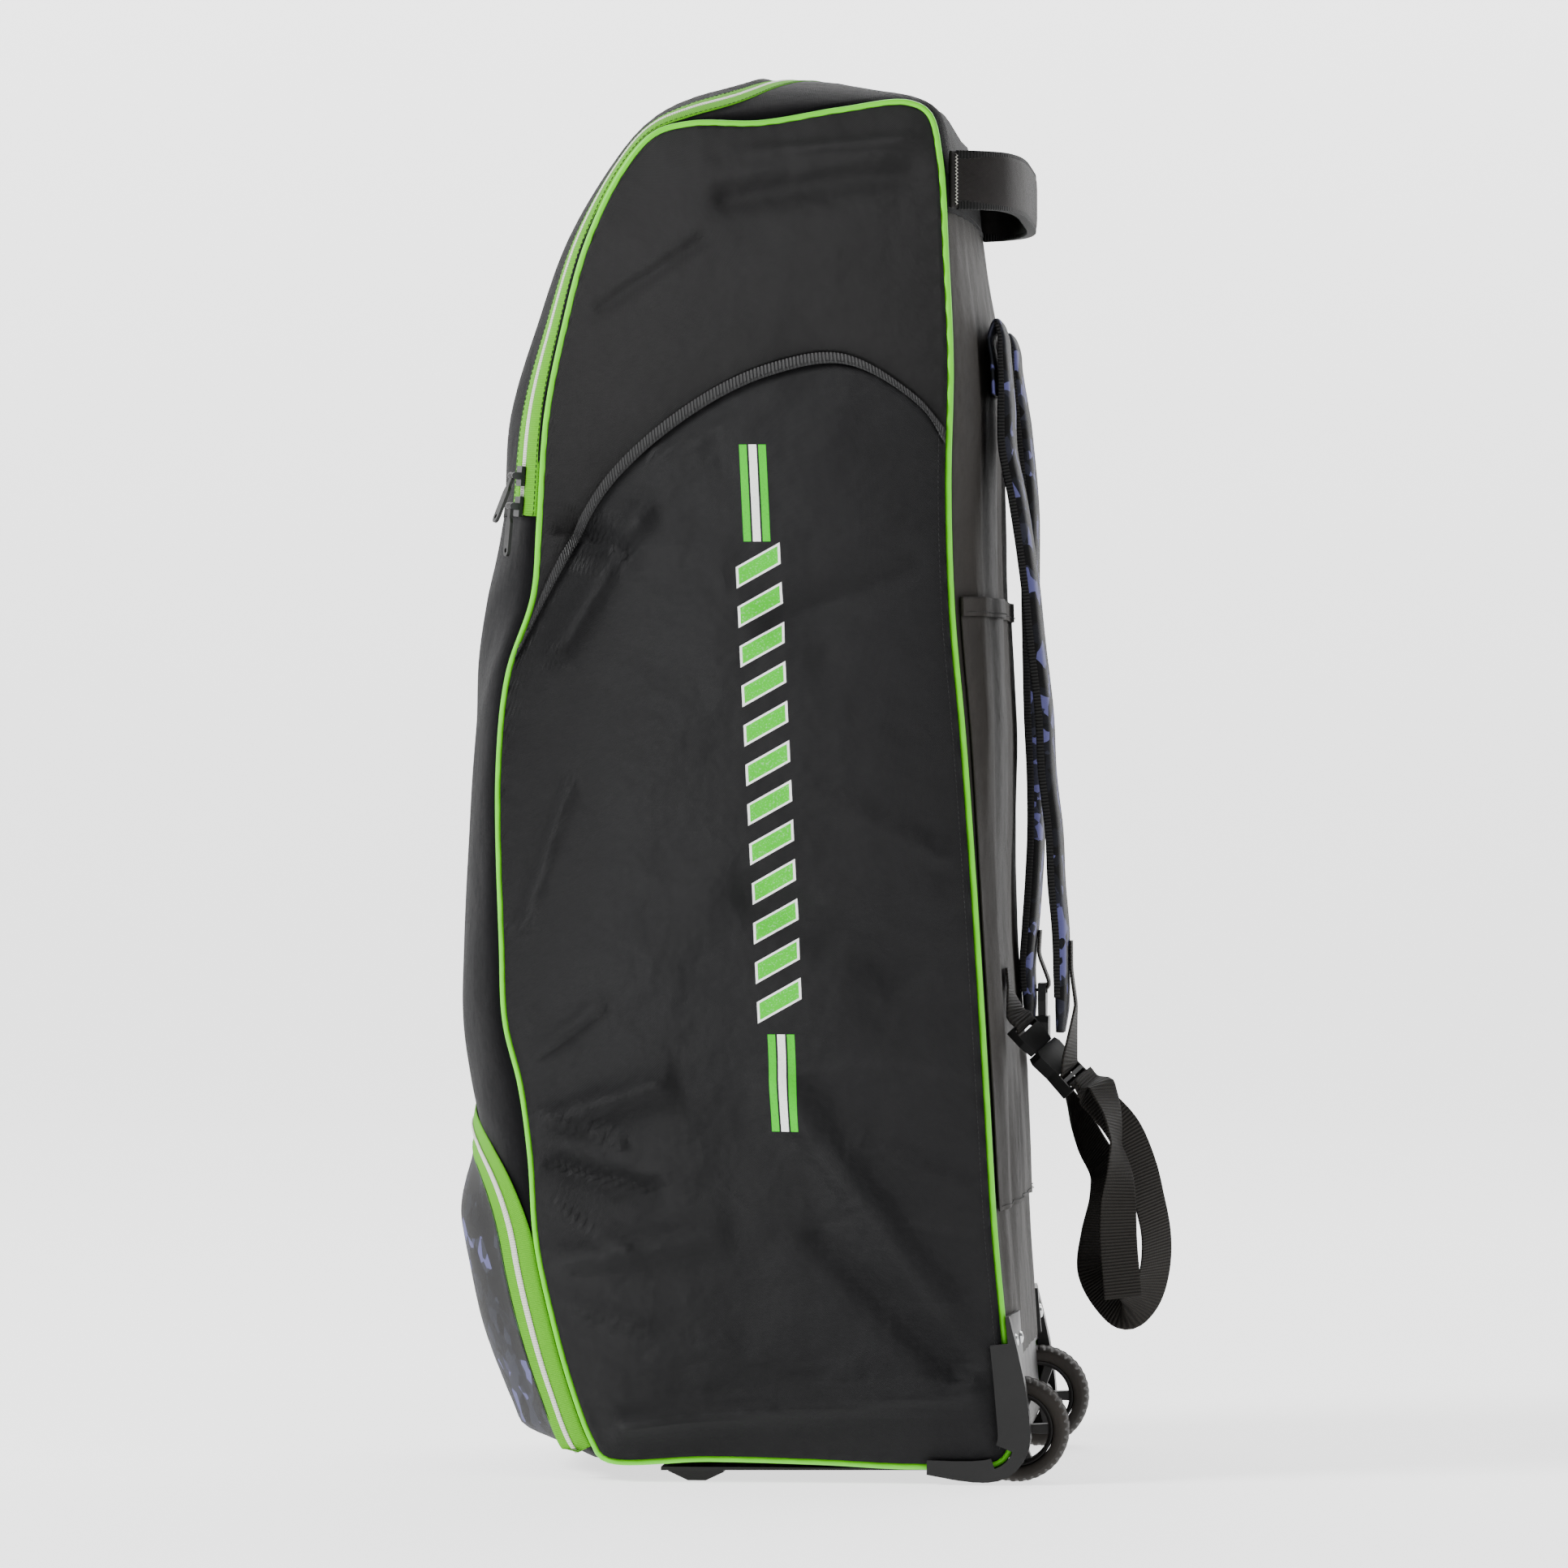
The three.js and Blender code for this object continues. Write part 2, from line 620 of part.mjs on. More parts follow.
// Front pocket
const pocketFrom = frontRun(pocketFoot);
const pocketPath = archPath(
  pocketFrom,
  frontRun(pocketTurn),
  frontRun(pocketCrest),
  pocketEdge,
  4,
  7,
);
const pocketReach = halfCoil + gap;
const pocketTape = 10;
const pocketEase = 1; // room for the panel's curve under the pocket's rim
const pocketSeat = clothWall / 2 + pocketEase + tapeWall / 2;
const coilLift = pocketSeat + pocketDepth * 0.13;
const innerLift = pocketSeat + pocketDepth * 0.3;
addPiece(
  "pocket_tape_outer",
  stripGeometry(
    beside(pocketPath, pocketReach + pocketTape),
    beside(pocketPath, pocketReach),
    pocketSeat,
    coilLift,
    tapeWall,
  ),
  greenTape,
);
addPiece(
  "pocket_coil",
  stripGeometry(
    beside(pocketPath, halfCoil),
    beside(pocketPath, -halfCoil),
    coilLift + 0.6,
    coilLift + 0.9,
    coilWall,
  ),
  ivoryCoil,
);
addPiece(
  "pocket_tape_inner",
  stripGeometry(
    beside(pocketPath, -pocketReach),
    beside(pocketPath, -pocketReach - pocketTape),
    coilLift,
    innerLift,
    tapeWall,
  ),
  greenTape,
);
const pocketRim = beside(pocketPath, -pocketReach - pocketTape - gap);
const pocketCorner = 0.36;
const pocketLift = (s, t) => {
  const sideways = smooth(clamp01(Math.min(s, 1 - s) * 3.4));
  const upward = smooth(clamp01((1 - t) * 2.6));
  const foot = smooth(clamp01(t * 9));
  const rim = innerLift + (pocketSeat + 0.4 - innerLift) * (1 - foot);
  return rim + (pocketDepth - innerLift) * sideways * upward * foot;
};
addPiece(
  "pocket_face",
  clothSheet(archGrid(pocketRim, pocketCorner, 9, 8, pocketLift), pocketWall),
  facetCloth,
);

// Back panel and slip pocket share the same runs and columns, so that they lie parallel.
const backColumns = 10;
const slipEase = 5; // slip pocket's edge to the side seam
const backRise = (share) =>
  backFolds.reduce(
    (total, fold) =>
      total + fold.rise * bagWidth * Math.exp(-Math.pow((share - fold.across) / (2 * fold.width), 2)),
    0,
  );
const backFrom = yokeTo + gap;
const slipFrom = backRun(slipMouth);
const slipTo = backRun(slipFoot);
const backTo = backRun(backFoot);
const hemRun = slipFrom + slipHem;
const foldShare = (run) =>
  smooth(clamp01((run - backFrom) / 90)) * smooth(clamp01((backTo - run) / 90));
const backLift = (run, share) => backRise(share) * foldShare(run);
const backRuns = [
  ...stations(backFrom, slipFrom, 66).slice(0, -1),
  slipFrom,
  ...stations(hemRun, slipTo, 66).slice(0, -1),
  ...stations(slipTo, backTo, 60),
];
const backGridOf = (runs, extra) =>
  runs.map((run) =>
    columnShares(backColumns).map((share) => ({
      run,
      side: share * halfGirth(run),
      lift: backLift(run, share) + extra,
    })),
  );
addPiece("back_panel", clothSheet(backGridOf(backRuns, 0), clothWall), greyCloth);
const slipSeat = clothWall / 2 + gap;
const slipRuns = backRuns.filter((run) => run >= hemRun - 1e-6 && run <= slipTo + 1e-6);
const slipGridOf = (runs, lift) =>
  backGridOf(runs, lift).map((row) =>
    row.map(({ run, side, lift: out }) => {
      const widest = halfGirth(run) - slipEase;
      return { run, side: Math.min(widest, Math.max(-widest, side)), lift: out };
    }),
  );
const slipGrid = slipGridOf(slipRuns, slipSeat + pocketWall / 2);
slipGrid[0].forEach((place) => (place.run += gap));
addPiece("back_slip_pocket", clothSheet(slipGrid, pocketWall), greyCloth);
addPiece(
  "back_slip_hem",
  clothSheet(slipGridOf([slipFrom, hemRun], slipSeat + 1.25 * hemWall), 2.5 * hemWall),
  greyCloth,
);

// Side panels, worked out in the side view as shares of their edges, in a lower and an upper block.
const seamEase = 1.3; // side panel's edge to the piping
const pipingInset = pipingRadius + seamEase;
const inset = (run, distance = pipingInset) => {
  const point = outlineAt(run);
  const outward = outwardAt(run);
  return { x: point.x - outward.x * distance, z: point.z - outward.z * distance };
};
const sideAt = ({ across, up }) => ({
  x: (across - 0.5) * sideDepth,
  z: pipingHeight + up * sideHeight,
});
const firstMouth = sideAt(mouthRows[0]);
const lastMouth = sideAt(mouthRows[mouthRows.length - 1]);
const mouthFrontRun = frontRun(firstMouth.z);
const mouthBackRun = backRun(lastMouth.z);
const topFrontRun = topRun(-sideDepth * 0.2);
const topBackRun = crestRun + (backRun(pipingHeight + sideHeight * 0.97) - crestRun) * 0.5;
const bottomBackRun = cornerRun + (bottomRun(sideDepth * 0.475) - cornerRun) * 0.6;
const mouthInner = mouthRows.slice(1, -1).map(sideAt);

function mouthCurve(frontEnd, backEnd, drop) {
  const points = [frontEnd, ...mouthInner.map(({ x, z }) => ({ x: x + drop * 0.35, z: z - drop })), backEnd];
  const curve = new THREE.CatmullRomCurve3(
    points.map(({ x, z }) => new THREE.Vector3(x, 0, z)),
    false,
    "centripetal",
  );
  return (s) => {
    const point = curve.getPointAt(s);
    return { x: point.x, z: point.z };
  };
}
const mouth = mouthCurve(inset(mouthFrontRun), inset(mouthBackRun), 0);
const mouthLow = mouthCurve(
  inset(mouthFrontRun - 1.3 * hemWidth),
  inset(mouthBackRun + 1.3 * hemWidth),
  hemWidth,
);

// Blend of four edge curves, each a function of a share from 0 to 1.
function blended(lower, upper, front, back, s, t) {
  const mix = (a, b, share) => ({
    x: THREE.MathUtils.lerp(a.x, b.x, share),
    z: THREE.MathUtils.lerp(a.z, b.z, share),
  });
  const across = mix(front(t), back(t), s);
  const upwards = mix(lower(s), upper(s), t);
  const corners = mix(mix(lower(0), lower(1), s), mix(upper(0), upper(1), s), t);
  return { x: across.x + upwards.x - corners.x, z: across.z + upwards.z - corners.z };
}

// Share along a list of runs, so that edge points fall on the list's stations.
const alongRuns = (runs) => (share) => {
  const position = clamp01(share) * (runs.length - 1);
  const k = Math.min(runs.length - 2, Math.floor(position));
  return inset(THREE.MathUtils.lerp(runs[k], runs[k + 1], position - k));
};
const spread = (from, to, count) =>
  Array.from({ length: count + 1 }, (_, k) => THREE.MathUtils.lerp(from, to, k / count));

const sideColumns = 9;
const lowerRows = 13;
const upperRows = 9;
const bottomEdge = alongRuns(stations(outlineLength, bottomBackRun, 40, 0.5));
const frontLow = alongRuns(spread(0, mouthFrontRun - 1.3 * hemWidth, lowerRows));
const backLow = alongRuns(spread(bottomBackRun, mouthBackRun + 1.3 * hemWidth, lowerRows));
const frontHigh = alongRuns(spread(mouthFrontRun, topFrontRun, upperRows));
const backHigh = alongRuns(spread(mouthBackRun, topBackRun, upperRows));
const topEdge = alongRuns(spread(topFrontRun, topBackRun, sideColumns));

function blockGrid(lower, upper, front, back, rows) {
  return spread(0, 1, rows).map((t) =>
    spread(0, 1, sideColumns).map((s) => blended(lower, upper, front, back, s, t)),
  );
}
const lowerBlock = blockGrid(bottomEdge, mouthLow, frontLow, backLow, lowerRows);
const upperBlock = blockGrid(mouth, topEdge, frontHigh, backHigh, upperRows);
const sideGrid = [...lowerBlock, ...upperBlock];

// How far out of the seam plane a side panel's outer face stands.
const seamInset = 26;
function nearestSeam(point) {
  let best = Infinity;
  for (let k = 0; k < track.length; k += 6) {
    best = Math.min(best, Math.hypot(point.x - track[k].x, point.z - track[k].z));
  }
  return best;
}

function foldRise({ x, z }) {
  let rise = 0;
  for (const fold of sideFolds) {
    const from = sideAt({ across: fold.fromAcross, up: fold.fromUp });
    const to = sideAt({ across: fold.toAcross, up: fold.toUp });
    const length = Math.hypot(to.x - from.x, to.z - from.z);
    const along = ((x - from.x) * (to.x - from.x) + (z - from.z) * (to.z - from.z)) / length;
    const off = ((x - from.x) * (to.z - from.z) - (z - from.z) * (to.x - from.x)) / length;
    const over = along - Math.min(length, Math.max(0, along));
    const width = (fold.width * sideDepth) / 2;
    rise += fold.rise * bagWidth * Math.exp(-(off * off + over * over) / (width * width));
  }
  return rise;
}

function sideOut(point) {
  const inside = nearestSeam(point);
  const belly = sideCrown * (1 - Math.exp(-inside / (seamInset * 1.6)));
  const settle = smooth(clamp01(inside / seamInset));
  return bagWidth / 2 + belly + foldRise(point) * settle;
}
const sideOuts = sideGrid.map((row) => row.map(sideOut));

function sideSheet(side, fromRow, toRow, low, wall) {
  const rows = sideGrid.slice(fromRow, toRow + 1);
  const layer = (offset) =>
    rows.map((row, r) =>
      row.map(({ x, z }, c) => new THREE.Vector3(x, side * (sideOuts[fromRow + r][c] + offset), z)),
    );
  return sheetGeometry(layer(low + wall), layer(low));
}

const sides = [
  { name: "right", side: -1 },
  { name: "left", side: 1 },
];

// Piping round a side panel
function pipingGeometry(side) {
  const corners = 5;
  const rings = stations(0, outlineLength, 60, 0.3)
    .slice(0, -1)
    .map((run) => {
      const point = outlineAt(run);
      const outward = outwardAt(run);
      return Array.from({ length: corners }, (_, k) => {
        const angle = (k / corners) * Math.PI * 2;
        const out = pipingRadius * Math.cos(angle);
        const along = pipingRadius * Math.sin(angle);
        return new THREE.Vector3(
          point.x + outward.x * out,
          side * (bagWidth / 2) + along,
          point.z + outward.z * out,
        );
      });
    });
  return ringGeometry(rings, true);
}

const sideInner = -clothWall / 2;
const coverSeat = clothWall / 2 + gap;

// Ribbed binding along the pocket's mouth, a little above the pocket's own upper edge
function bindingGeometry(side) {
  const shares = [gap / hemWidth, 1];
  const layer = (offset) =>
    shares.map((share) =>
      sideGrid[lowerRows].map((low, c) => {
        const high = sideGrid[lowerRows + 1][c];
        const lowOut = sideOuts[lowerRows][c];
        const highOut = sideOuts[lowerRows + 1][c];
        return new THREE.Vector3(
          THREE.MathUtils.lerp(low.x, high.x, share),
          side * (THREE.MathUtils.lerp(lowOut, highOut, share) + offset),
          THREE.MathUtils.lerp(low.z, high.z, share),
        );
      }),
    );
  return sheetGeometry(layer(coverSeat + 2 * hemWall), layer(coverSeat));
}

for (const { name, side } of sides) {
  addPiece(`piping_${name}`, pipingGeometry(side), limePiping);
  addPiece(`side_panel_${name}`, sideSheet(side, 0, sideGrid.length - 1, sideInner, clothWall), blackCloth);
  addPiece(`side_pocket_${name}`, sideSheet(side, 0, lowerRows, coverSeat, pocketWall), blackCloth);
  addPiece(`side_binding_${name}`, bindingGeometry(side), hemCloth);
}

// Base panel, from the moulded rear corner to the bottom front corner
const trayBack = bottomRun(sideDepth * 0.36);
addPiece(
  "base_panel",
  clothSheet(panelGrid(trayBack + gap, outlineLength - gap, 4), clothWall),
  blackCloth,
);

// Band through a list of places: centre, direction across it, width and wall.
const squareSection = [
  [1, -1],
  [1, 1],
  [-1, 1],
  [-1, -1],
];
const roundedSection = [
  [1, -0.4],
  [1, 0.4],
  [0.88, 1],
  [-0.88, 1],
  [-1, 0.4],
  [-1, -0.4],
  [-0.88, -1],
  [0.88, -1],
];

function bandGeometry(places, section = squareSection) {
  const rings = places.map(({ centre, across, width, wall }, k) => {
    const before = places[Math.max(0, k - 1)].centre;
    const after = places[Math.min(places.length - 1, k + 1)].centre;
    const tangent = after.clone().sub(before).normalize();
    const face = tangent.clone().cross(across).normalize();
    const wide = face.clone().cross(tangent).normalize();
    return section.map(([a, b]) =>
      centre
        .clone()
        .addScaledVector(wide, (a * width) / 2)
        .addScaledVector(face, (b * wall) / 2),
    );
  });
  return ringGeometry(rings);
}

// Rearmost face of the back over a width, at a height.
function backFace(z, side, width) {
  const run = backRun(z);
  const faces = [-0.5, -0.25, 0, 0.25, 0.5].map((share) => {
    const at = side + share * width;
    const covered = run > hemRun ? gap + pocketWall : gap + 2.5 * hemWall;
    const lift = backLift(run, at / halfGirth(run)) + clothWall / 2;
    return clothPoint(run, at, run > slipFrom ? lift + covered : lift).x;
  });
  return Math.max(...faces);
}

// Haul handle: across is a share of the half width, reach a share of handleReach, wall of handleWall.
const handleRows = [
  { across: 0.955, reach: 0, wall: 0.35 },
  { across: 0.925, reach: 0.05, wall: 0.4 },
  { across: 0.88, reach: 0.36, wall: 0.6 },
  { across: 0.77, reach: 0.7, wall: 1 },
  { across: 0.6, reach: 0.9, wall: 1 },
  { across: 0.36, reach: 0.99, wall: 1 },
  { across: 0.12, reach: 1, wall: 1 },
];
const handleRun = backRun(handleHeight);
const handlePlaces = handleRows.map(({ across, reach, wall }) => {
  const thick = wall * handleWall;
  const seat = clothPoint(handleRun, across * clothHalf, clothWall / 2 + gap + thick / 2);
  return {
    centre: new THREE.Vector3(seat.x + reach * (handleReach - (seat.x - outlineAt(handleRun).x)), seat.y, seat.z),
    across: new THREE.Vector3(0, 0, 1),
    width: handleWidth,
    wall: thick,
  };
});
const mirrored = (place) => ({
  ...place,
  centre: new THREE.Vector3(place.centre.x, -place.centre.y, place.centre.z),
});
addPiece(
  "haul_handle",
  bandGeometry([...handlePlaces.map(mirrored), ...handlePlaces.slice().reverse()], roundedSection),
  blackCloth,
);

// Shoulder straps
const strapEase = 20; // run over which a strap keeps clear of what lies under it
const strapPlaces = (name, side) =>
  strapRows.map((row) => {
    const z = strapTop - row.drop * strapDrop;
    const wall = row.wall * strapWall;
    const ease = row.wall > 0.35 ? strapEase : 0;
    const faces = spread(-ease, ease, 4).map((rise) =>
      backFace(z + rise, side * strapSpread, strapWidth),
    );
    const resting = Math.max(...faces) + gap + wall / 2 + row.over * strapWall;
    const x = Math.max(resting, outlineAt(backRun(z)).x + row[name] * strapReach);
    return {
      centre: new THREE.Vector3(x, side * strapSpread, z),
      across: new THREE.Vector3(0, 1, 0),
      width: strapWidth * (row.wall < 0.6 && row.drop > 0.5 ? 0.75 : 1),
      wall,
    };
  });

// Side-release buckles: along the buckle is local X, across it local Y.
const maleLength = 0.39 * buckleLength;
const slotWidth = webbingWidth + 2;
const slotReach = 4.2;
const barReach = 2.6;

function plateWithSlots(outlinePoints, slotStarts, wall) {
  const shape = new THREE.Shape(outlinePoints);
  const plate = new THREE.ExtrudeGeometry(shape, { depth: wall, bevelEnabled: false });
  let solid = toSolid(plate.translate(0, 0, -wall / 2));
  for (const start of slotStarts) {
    const slot = new THREE.BoxGeometry(slotReach, slotWidth, 2 * wall);
    solid = solid.subtract(toSolid(slot.translate(start + slotReach / 2, 0, 0)));
  }
  return toGeometry(solid);
}
const femaleLength = buckleLength - maleLength;
const femaleShape = [
  [0, -0.86],
  [0.12, -1],
  [0.5, -0.9],
  [1, -0.98],
  [1, 0.98],
  [0.5, 0.9],
  [0.12, 1],
  [0, 0.86],
].map(([x, y]) => new THREE.Vector2(x * femaleLength, (y * buckleWidth) / 2));
const maleShape = [
  [-1, -0.96],
  [-0.45, -0.96],
  [0, -0.8],
  [0, 0.8],
  [-0.45, 0.96],
  [-1, 0.96],
].map(([x, y]) => new THREE.Vector2(x * maleLength - gap, (y * buckleWidth) / 2));
const ladderSlot = femaleLength - barReach - slotReach;
const innerSlot = ladderSlot - barReach - slotReach;
const maleSlot = barReach - maleLength - gap;
const femalePlate = () => plateWithSlots(femaleShape, [innerSlot, ladderSlot], buckleWall);
const malePlate = () => plateWithSlots(maleShape, [maleSlot], buckleWall * 0.6);

// Where each buckle hangs: out from the back piping, its middle below the straps' tips, its tilt below
// the level and its roll about its own length, in degrees.
const buckleRows = {
  right: { out: 37, below: 15.3, tilt: 47, roll: 30 },
  left: { out: 26, below: 0.3, tilt: 90, roll: 0 },
};
const strapTip = strapTop - strapDrop * strapRows[strapRows.length - 1].drop;
const anchorHeight = strapTip + anchorRise;

function buckleFrame(name, side) {
  const { out, below, tilt, roll } = buckleRows[name];
  const height = strapTip - below;
  const x = outlineAt(backRun(height)).x + out;
  return new THREE.Matrix4()
    .makeTranslation(x, side * strapSpread, height)
    .multiply(new THREE.Matrix4().makeRotationY(THREE.MathUtils.degToRad(tilt)))
    .multiply(new THREE.Matrix4().makeRotationX(THREE.MathUtils.degToRad(-side * roll)))
    .multiply(new THREE.Matrix4().makeTranslation(maleLength - buckleLength / 2, 0, 0));
}

// Webbing through a list of places: centre and direction across.
function webbingGeometry(places) {
  return bandGeometry(
    places.map(({ centre, across }) => ({ centre, across, width: webbingWidth, wall: webbingWall })),
  );
}
const overMale = buckleWall * 0.3 + 2 * gap + webbingWall / 2;
const overFemale = buckleWall * 0.5 + 2 * gap + webbingWall / 2;

const barMiddle = slotReach / 2;

// Outer face of a strap's hanging part at a height.
function strapFace(strap, z) {
  const k = strap.findLastIndex((place) => place.centre.z >= z);
  const [above, below] = [strap[k], strap[k + 1]];
  const t = (above.centre.z - z) / (above.centre.z - below.centre.z);
  return THREE.MathUtils.lerp(above.centre.x + above.wall / 2, below.centre.x + below.wall / 2, t);
}

// Places along a band in a buckle's frame, in the bag's frame, on a strap's outer face and on the back.
function placesFor(name, side) {
  const frame = buckleFrame(name, side);
  const strap = strapPlaces(name, side);
  const sewn = strap[strap.length - 3].centre.z;
  const onBuckle = (x, z) => ({
    centre: new THREE.Vector3(x, 0, z).applyMatrix4(frame),
    across: new THREE.Vector3(0, 1, 0).transformDirection(frame),
  });
  const onBag = (x, z) => ({
    centre: new THREE.Vector3(x, side * strapSpread, z),
    across: new THREE.Vector3(0, 1, 0),
  });
  return {
    frame,
    strap,
    onBuckle,
    onStrap: (rise, lift) =>
      onBag(strapFace(strap, sewn + rise) + 2 * gap + webbingWall / 2 + lift, sewn + rise),
    onBack: (z, lift) =>
      onBag(backFace(z, side * strapSpread, webbingWidth) + gap + webbingWall / 2 + lift, z),
    throughMale: [
      onBuckle(-maleLength - 5, overMale * 0.7),
      onBuckle(-maleLength, overMale + 0.5),
      onBuckle(maleSlot + barMiddle - 0.6, overMale * 0.9),
      onBuckle(maleSlot + barMiddle, 0),
      onBuckle(maleSlot + barMiddle, -overMale),
    ],
    throughLadder: [
      onBuckle(ladderSlot + barMiddle, 0),
      onBuckle(ladderSlot + barMiddle + 0.6, overFemale * 0.9),
      onBuckle(femaleLength - 0.5, overFemale + 0.4),
      onBuckle(femaleLength + 4, overFemale * 0.7),
    ],
  };
}
const places = {};
for (const { name, side } of sides) {
  places[name] = placesFor(name, side);
  const { frame, strap, onStrap, onBack, throughMale } = places[name];
  const start =
    name === "right"
      ? [onBack(anchorHeight + 16, 0), onBack(anchorHeight + 4, 0.5)]
      : [onStrap(24, 0), onStrap(8, 0.4)];
  addPiece(`buckle_female_${name}`, femalePlate().applyMatrix4(frame), blackMoulding);
  addPiece(`buckle_male_${name}`, malePlate().applyMatrix4(frame), blackMoulding);
  addPiece(`shoulder_strap_${name}`, bandGeometry(strap, roundedSection), facetCloth);
  addPiece(`anchor_${name}`, webbingGeometry([...start, ...throughMale]), blackWebbing);
}

// Webbing tails below the right buckle: x and z from its lower end in shares of tailDrop,
// side in shares of strapSpread, turn in degrees from edge-on to facing sideways.
const tailDrop = 152;
const tailLoopRows = [
  { x: 0.05, z: -0.02, side: -1, turn: 52 },
  { x: 0.12, z: -0.09, side: -1, turn: 55 },
  { x: 0.2, z: -0.19, side: -0.98, turn: 65 },
  { x: 0.265, z: -0.34, side: -0.95, turn: 60 },
  { x: 0.305, z: -0.48, side: -0.92, turn: 50 },
  { x: 0.335, z: -0.64, side: -0.86, turn: 46 },
  { x: 0.325, z: -0.8, side: -0.76, turn: 46 },
  { x: 0.275, z: -0.925, side: -0.66, turn: 54 },
  { x: 0.2, z: -0.985, side: -0.56, turn: 66 },
  { x: 0.12, z: -0.92, side: -0.42, turn: 72 },
  { x: 0.06, z: -0.81, side: -0.26, turn: 76 },
  { x: 0.07, z: -0.67, side: -0.08, turn: 74 },
  { x: 0.1, z: -0.52, side: 0.15, turn: 70 },
  { x: 0.09, z: -0.4, side: 0.34, turn: 60 },
  { x: 0.02, z: -0.28, side: 0.54, turn: 50 },
  { x: -0.05, z: -0.15, side: 0.75, turn: 30 },
  { x: -0.12, z: -0.03, side: 0.97, turn: 4 },
];
const tailEndRows = [
  { x: 0.1, z: 0.02, side: -1.1, turn: 40 },
  { x: 0.15, z: -0.11, side: -1.17, turn: 24 },
  { x: 0.17, z: -0.24, side: -1.22, turn: 12 },
  { x: 0.185, z: -0.37, side: -1.24, turn: 40 },
  { x: 0.18, z: -0.5, side: -1.24, turn: 66 },
  { x: 0.18, z: -0.65, side: -1.22, turn: 74 },
  { x: 0.2, z: -0.9, side: -1.2, turn: 76 },
];
const tailRoot = new THREE.Vector3(femaleLength, 0, 0).applyMatrix4(places.right.frame);

function tailPlaces(rows, steps) {
  const curve = new THREE.CatmullRomCurve3(
    rows.map(
      ({ x, z, side }) =>
        new THREE.Vector3(tailRoot.x + x * tailDrop, side * strapSpread, tailRoot.z + z * tailDrop),
    ),
  );
  return spread(0, 1, steps).map((t) => {
    const position = t * (rows.length - 1);
    const k = Math.min(rows.length - 2, Math.floor(position));
    const turn = THREE.MathUtils.degToRad(
      THREE.MathUtils.lerp(rows[k].turn, rows[k + 1].turn, position - k),
    );
    const tangent = curve.getTangent(t);
    const level = new THREE.Vector3(-tangent.z, 0, tangent.x).normalize();
    return {
      centre: curve.getPoint(t),
      across: new THREE.Vector3(0, Math.cos(turn), 0).addScaledVector(level, Math.sin(turn)),
    };
  });
}
const { onBuckle, onStrap, throughLadder } = places.right;
const doubled = webbingWall + 4 * gap;
addPiece(
  "tail_loop",
  webbingGeometry([
    onStrap(20, 0),
    onStrap(2, 0),
    onStrap(-6, 1),
    onStrap(-22, 3.5),
    onBuckle(innerSlot + barMiddle - 3, overFemale + 1.4),
    onBuckle(innerSlot + barMiddle - 0.6, overFemale * 0.9),
    onBuckle(innerSlot + barMiddle, 0),
    onBuckle(innerSlot + barMiddle + 0.6, -overFemale * 0.9),
    onBuckle(ladderSlot + barMiddle - 0.6, -overFemale * 0.9),
    ...throughLadder,
    ...tailPlaces(tailLoopRows, 20),
    ...places.left.throughLadder.slice(0, -1).reverse(),
  ]),
  blackWebbing,
);
addPiece(
  "tail_end",
  webbingGeometry([
    onBuckle(femaleLength - 4, overFemale + 0.4 + doubled),
    onBuckle(femaleLength - 0.5, overFemale + 0.4 + doubled),
    onBuckle(femaleLength + 4, overFemale * 0.7 + doubled + 1),
    ...tailPlaces(tailEndRows, 12),
  ]),
  blackWebbing,
);

// Wheels
const axleX = sideDepth / 2 + axleSetback;
const wheelSides = 20;
const tyreProfile = [
  [rimRadius + gap, -0.43],
  [0.88 * wheelRadius, -0.5],
  [0.97 * wheelRadius, -0.4],
  [wheelRadius, -0.24],
  [wheelRadius, 0.24],
  [0.97 * wheelRadius, 0.4],
  [0.88 * wheelRadius, 0.5],
  [rimRadius + gap, 0.43],
  [rimRadius + gap, -0.43],
].map(([radius, share]) => new THREE.Vector2(radius, share * wheelWidth));

function arcPoints(radius, from, to, steps) {
  return spread(from, to, steps).map(
    (angle) => new THREE.Vector2(radius * Math.cos(angle), radius * Math.sin(angle)),
  );
}

function rimGeometry() {
  const turn = Math.PI * 2;
  const spokes = 5;
  const spokeAngle = 0.4;
  const windowOuter = rimRadius - 3.4;
  const shape = new THREE.Shape(arcPoints(rimRadius, 0, turn, wheelSides).slice(1));
  shape.holes.push(new THREE.Path(arcPoints(axleRadius + axleClearance, turn, 0, 10).slice(1)));
  for (const start of spread(0, turn, spokes).slice(1)) {
    const from = start + spokeAngle / 2;
    const to = start + turn / spokes - spokeAngle / 2;
    shape.holes.push(
      new THREE.Path([
        ...arcPoints(windowOuter, from, to, 3),
        ...arcPoints(hubRadius, to - spokeAngle / 2, from + spokeAngle / 2, 1),
      ]),
    );
  }
  const depth = 0.62 * wheelWidth;
  return new THREE.ExtrudeGeometry(shape, { depth, bevelEnabled: false })
    .translate(0, 0, -depth / 2)
    .rotateX(Math.PI / 2);
}

for (const { name, side } of sides) {
  const middle = side * wheelSpread;
  const tyre = addPiece(`wheel_tyre_${name}`, new THREE.LatheGeometry(tyreProfile, wheelSides), tyreRubber);
  const rim = addPiece(`wheel_rim_${name}`, rimGeometry(), blackMoulding);
  for (const piece of [tyre, rim]) piece.position.set(axleX, middle, wheelRadius);
}

// Moulded base: plate under the cloth, rear corner and the two wheel wells, in one piece
const trayFace = pipingRadius + 0.8;
const trayHalf = wheelSpread + wheelWidth / 2 + 5;
const trayX = -sideDepth / 2 + trayFront;
const plateLow = pipingHeight - trayDrop;

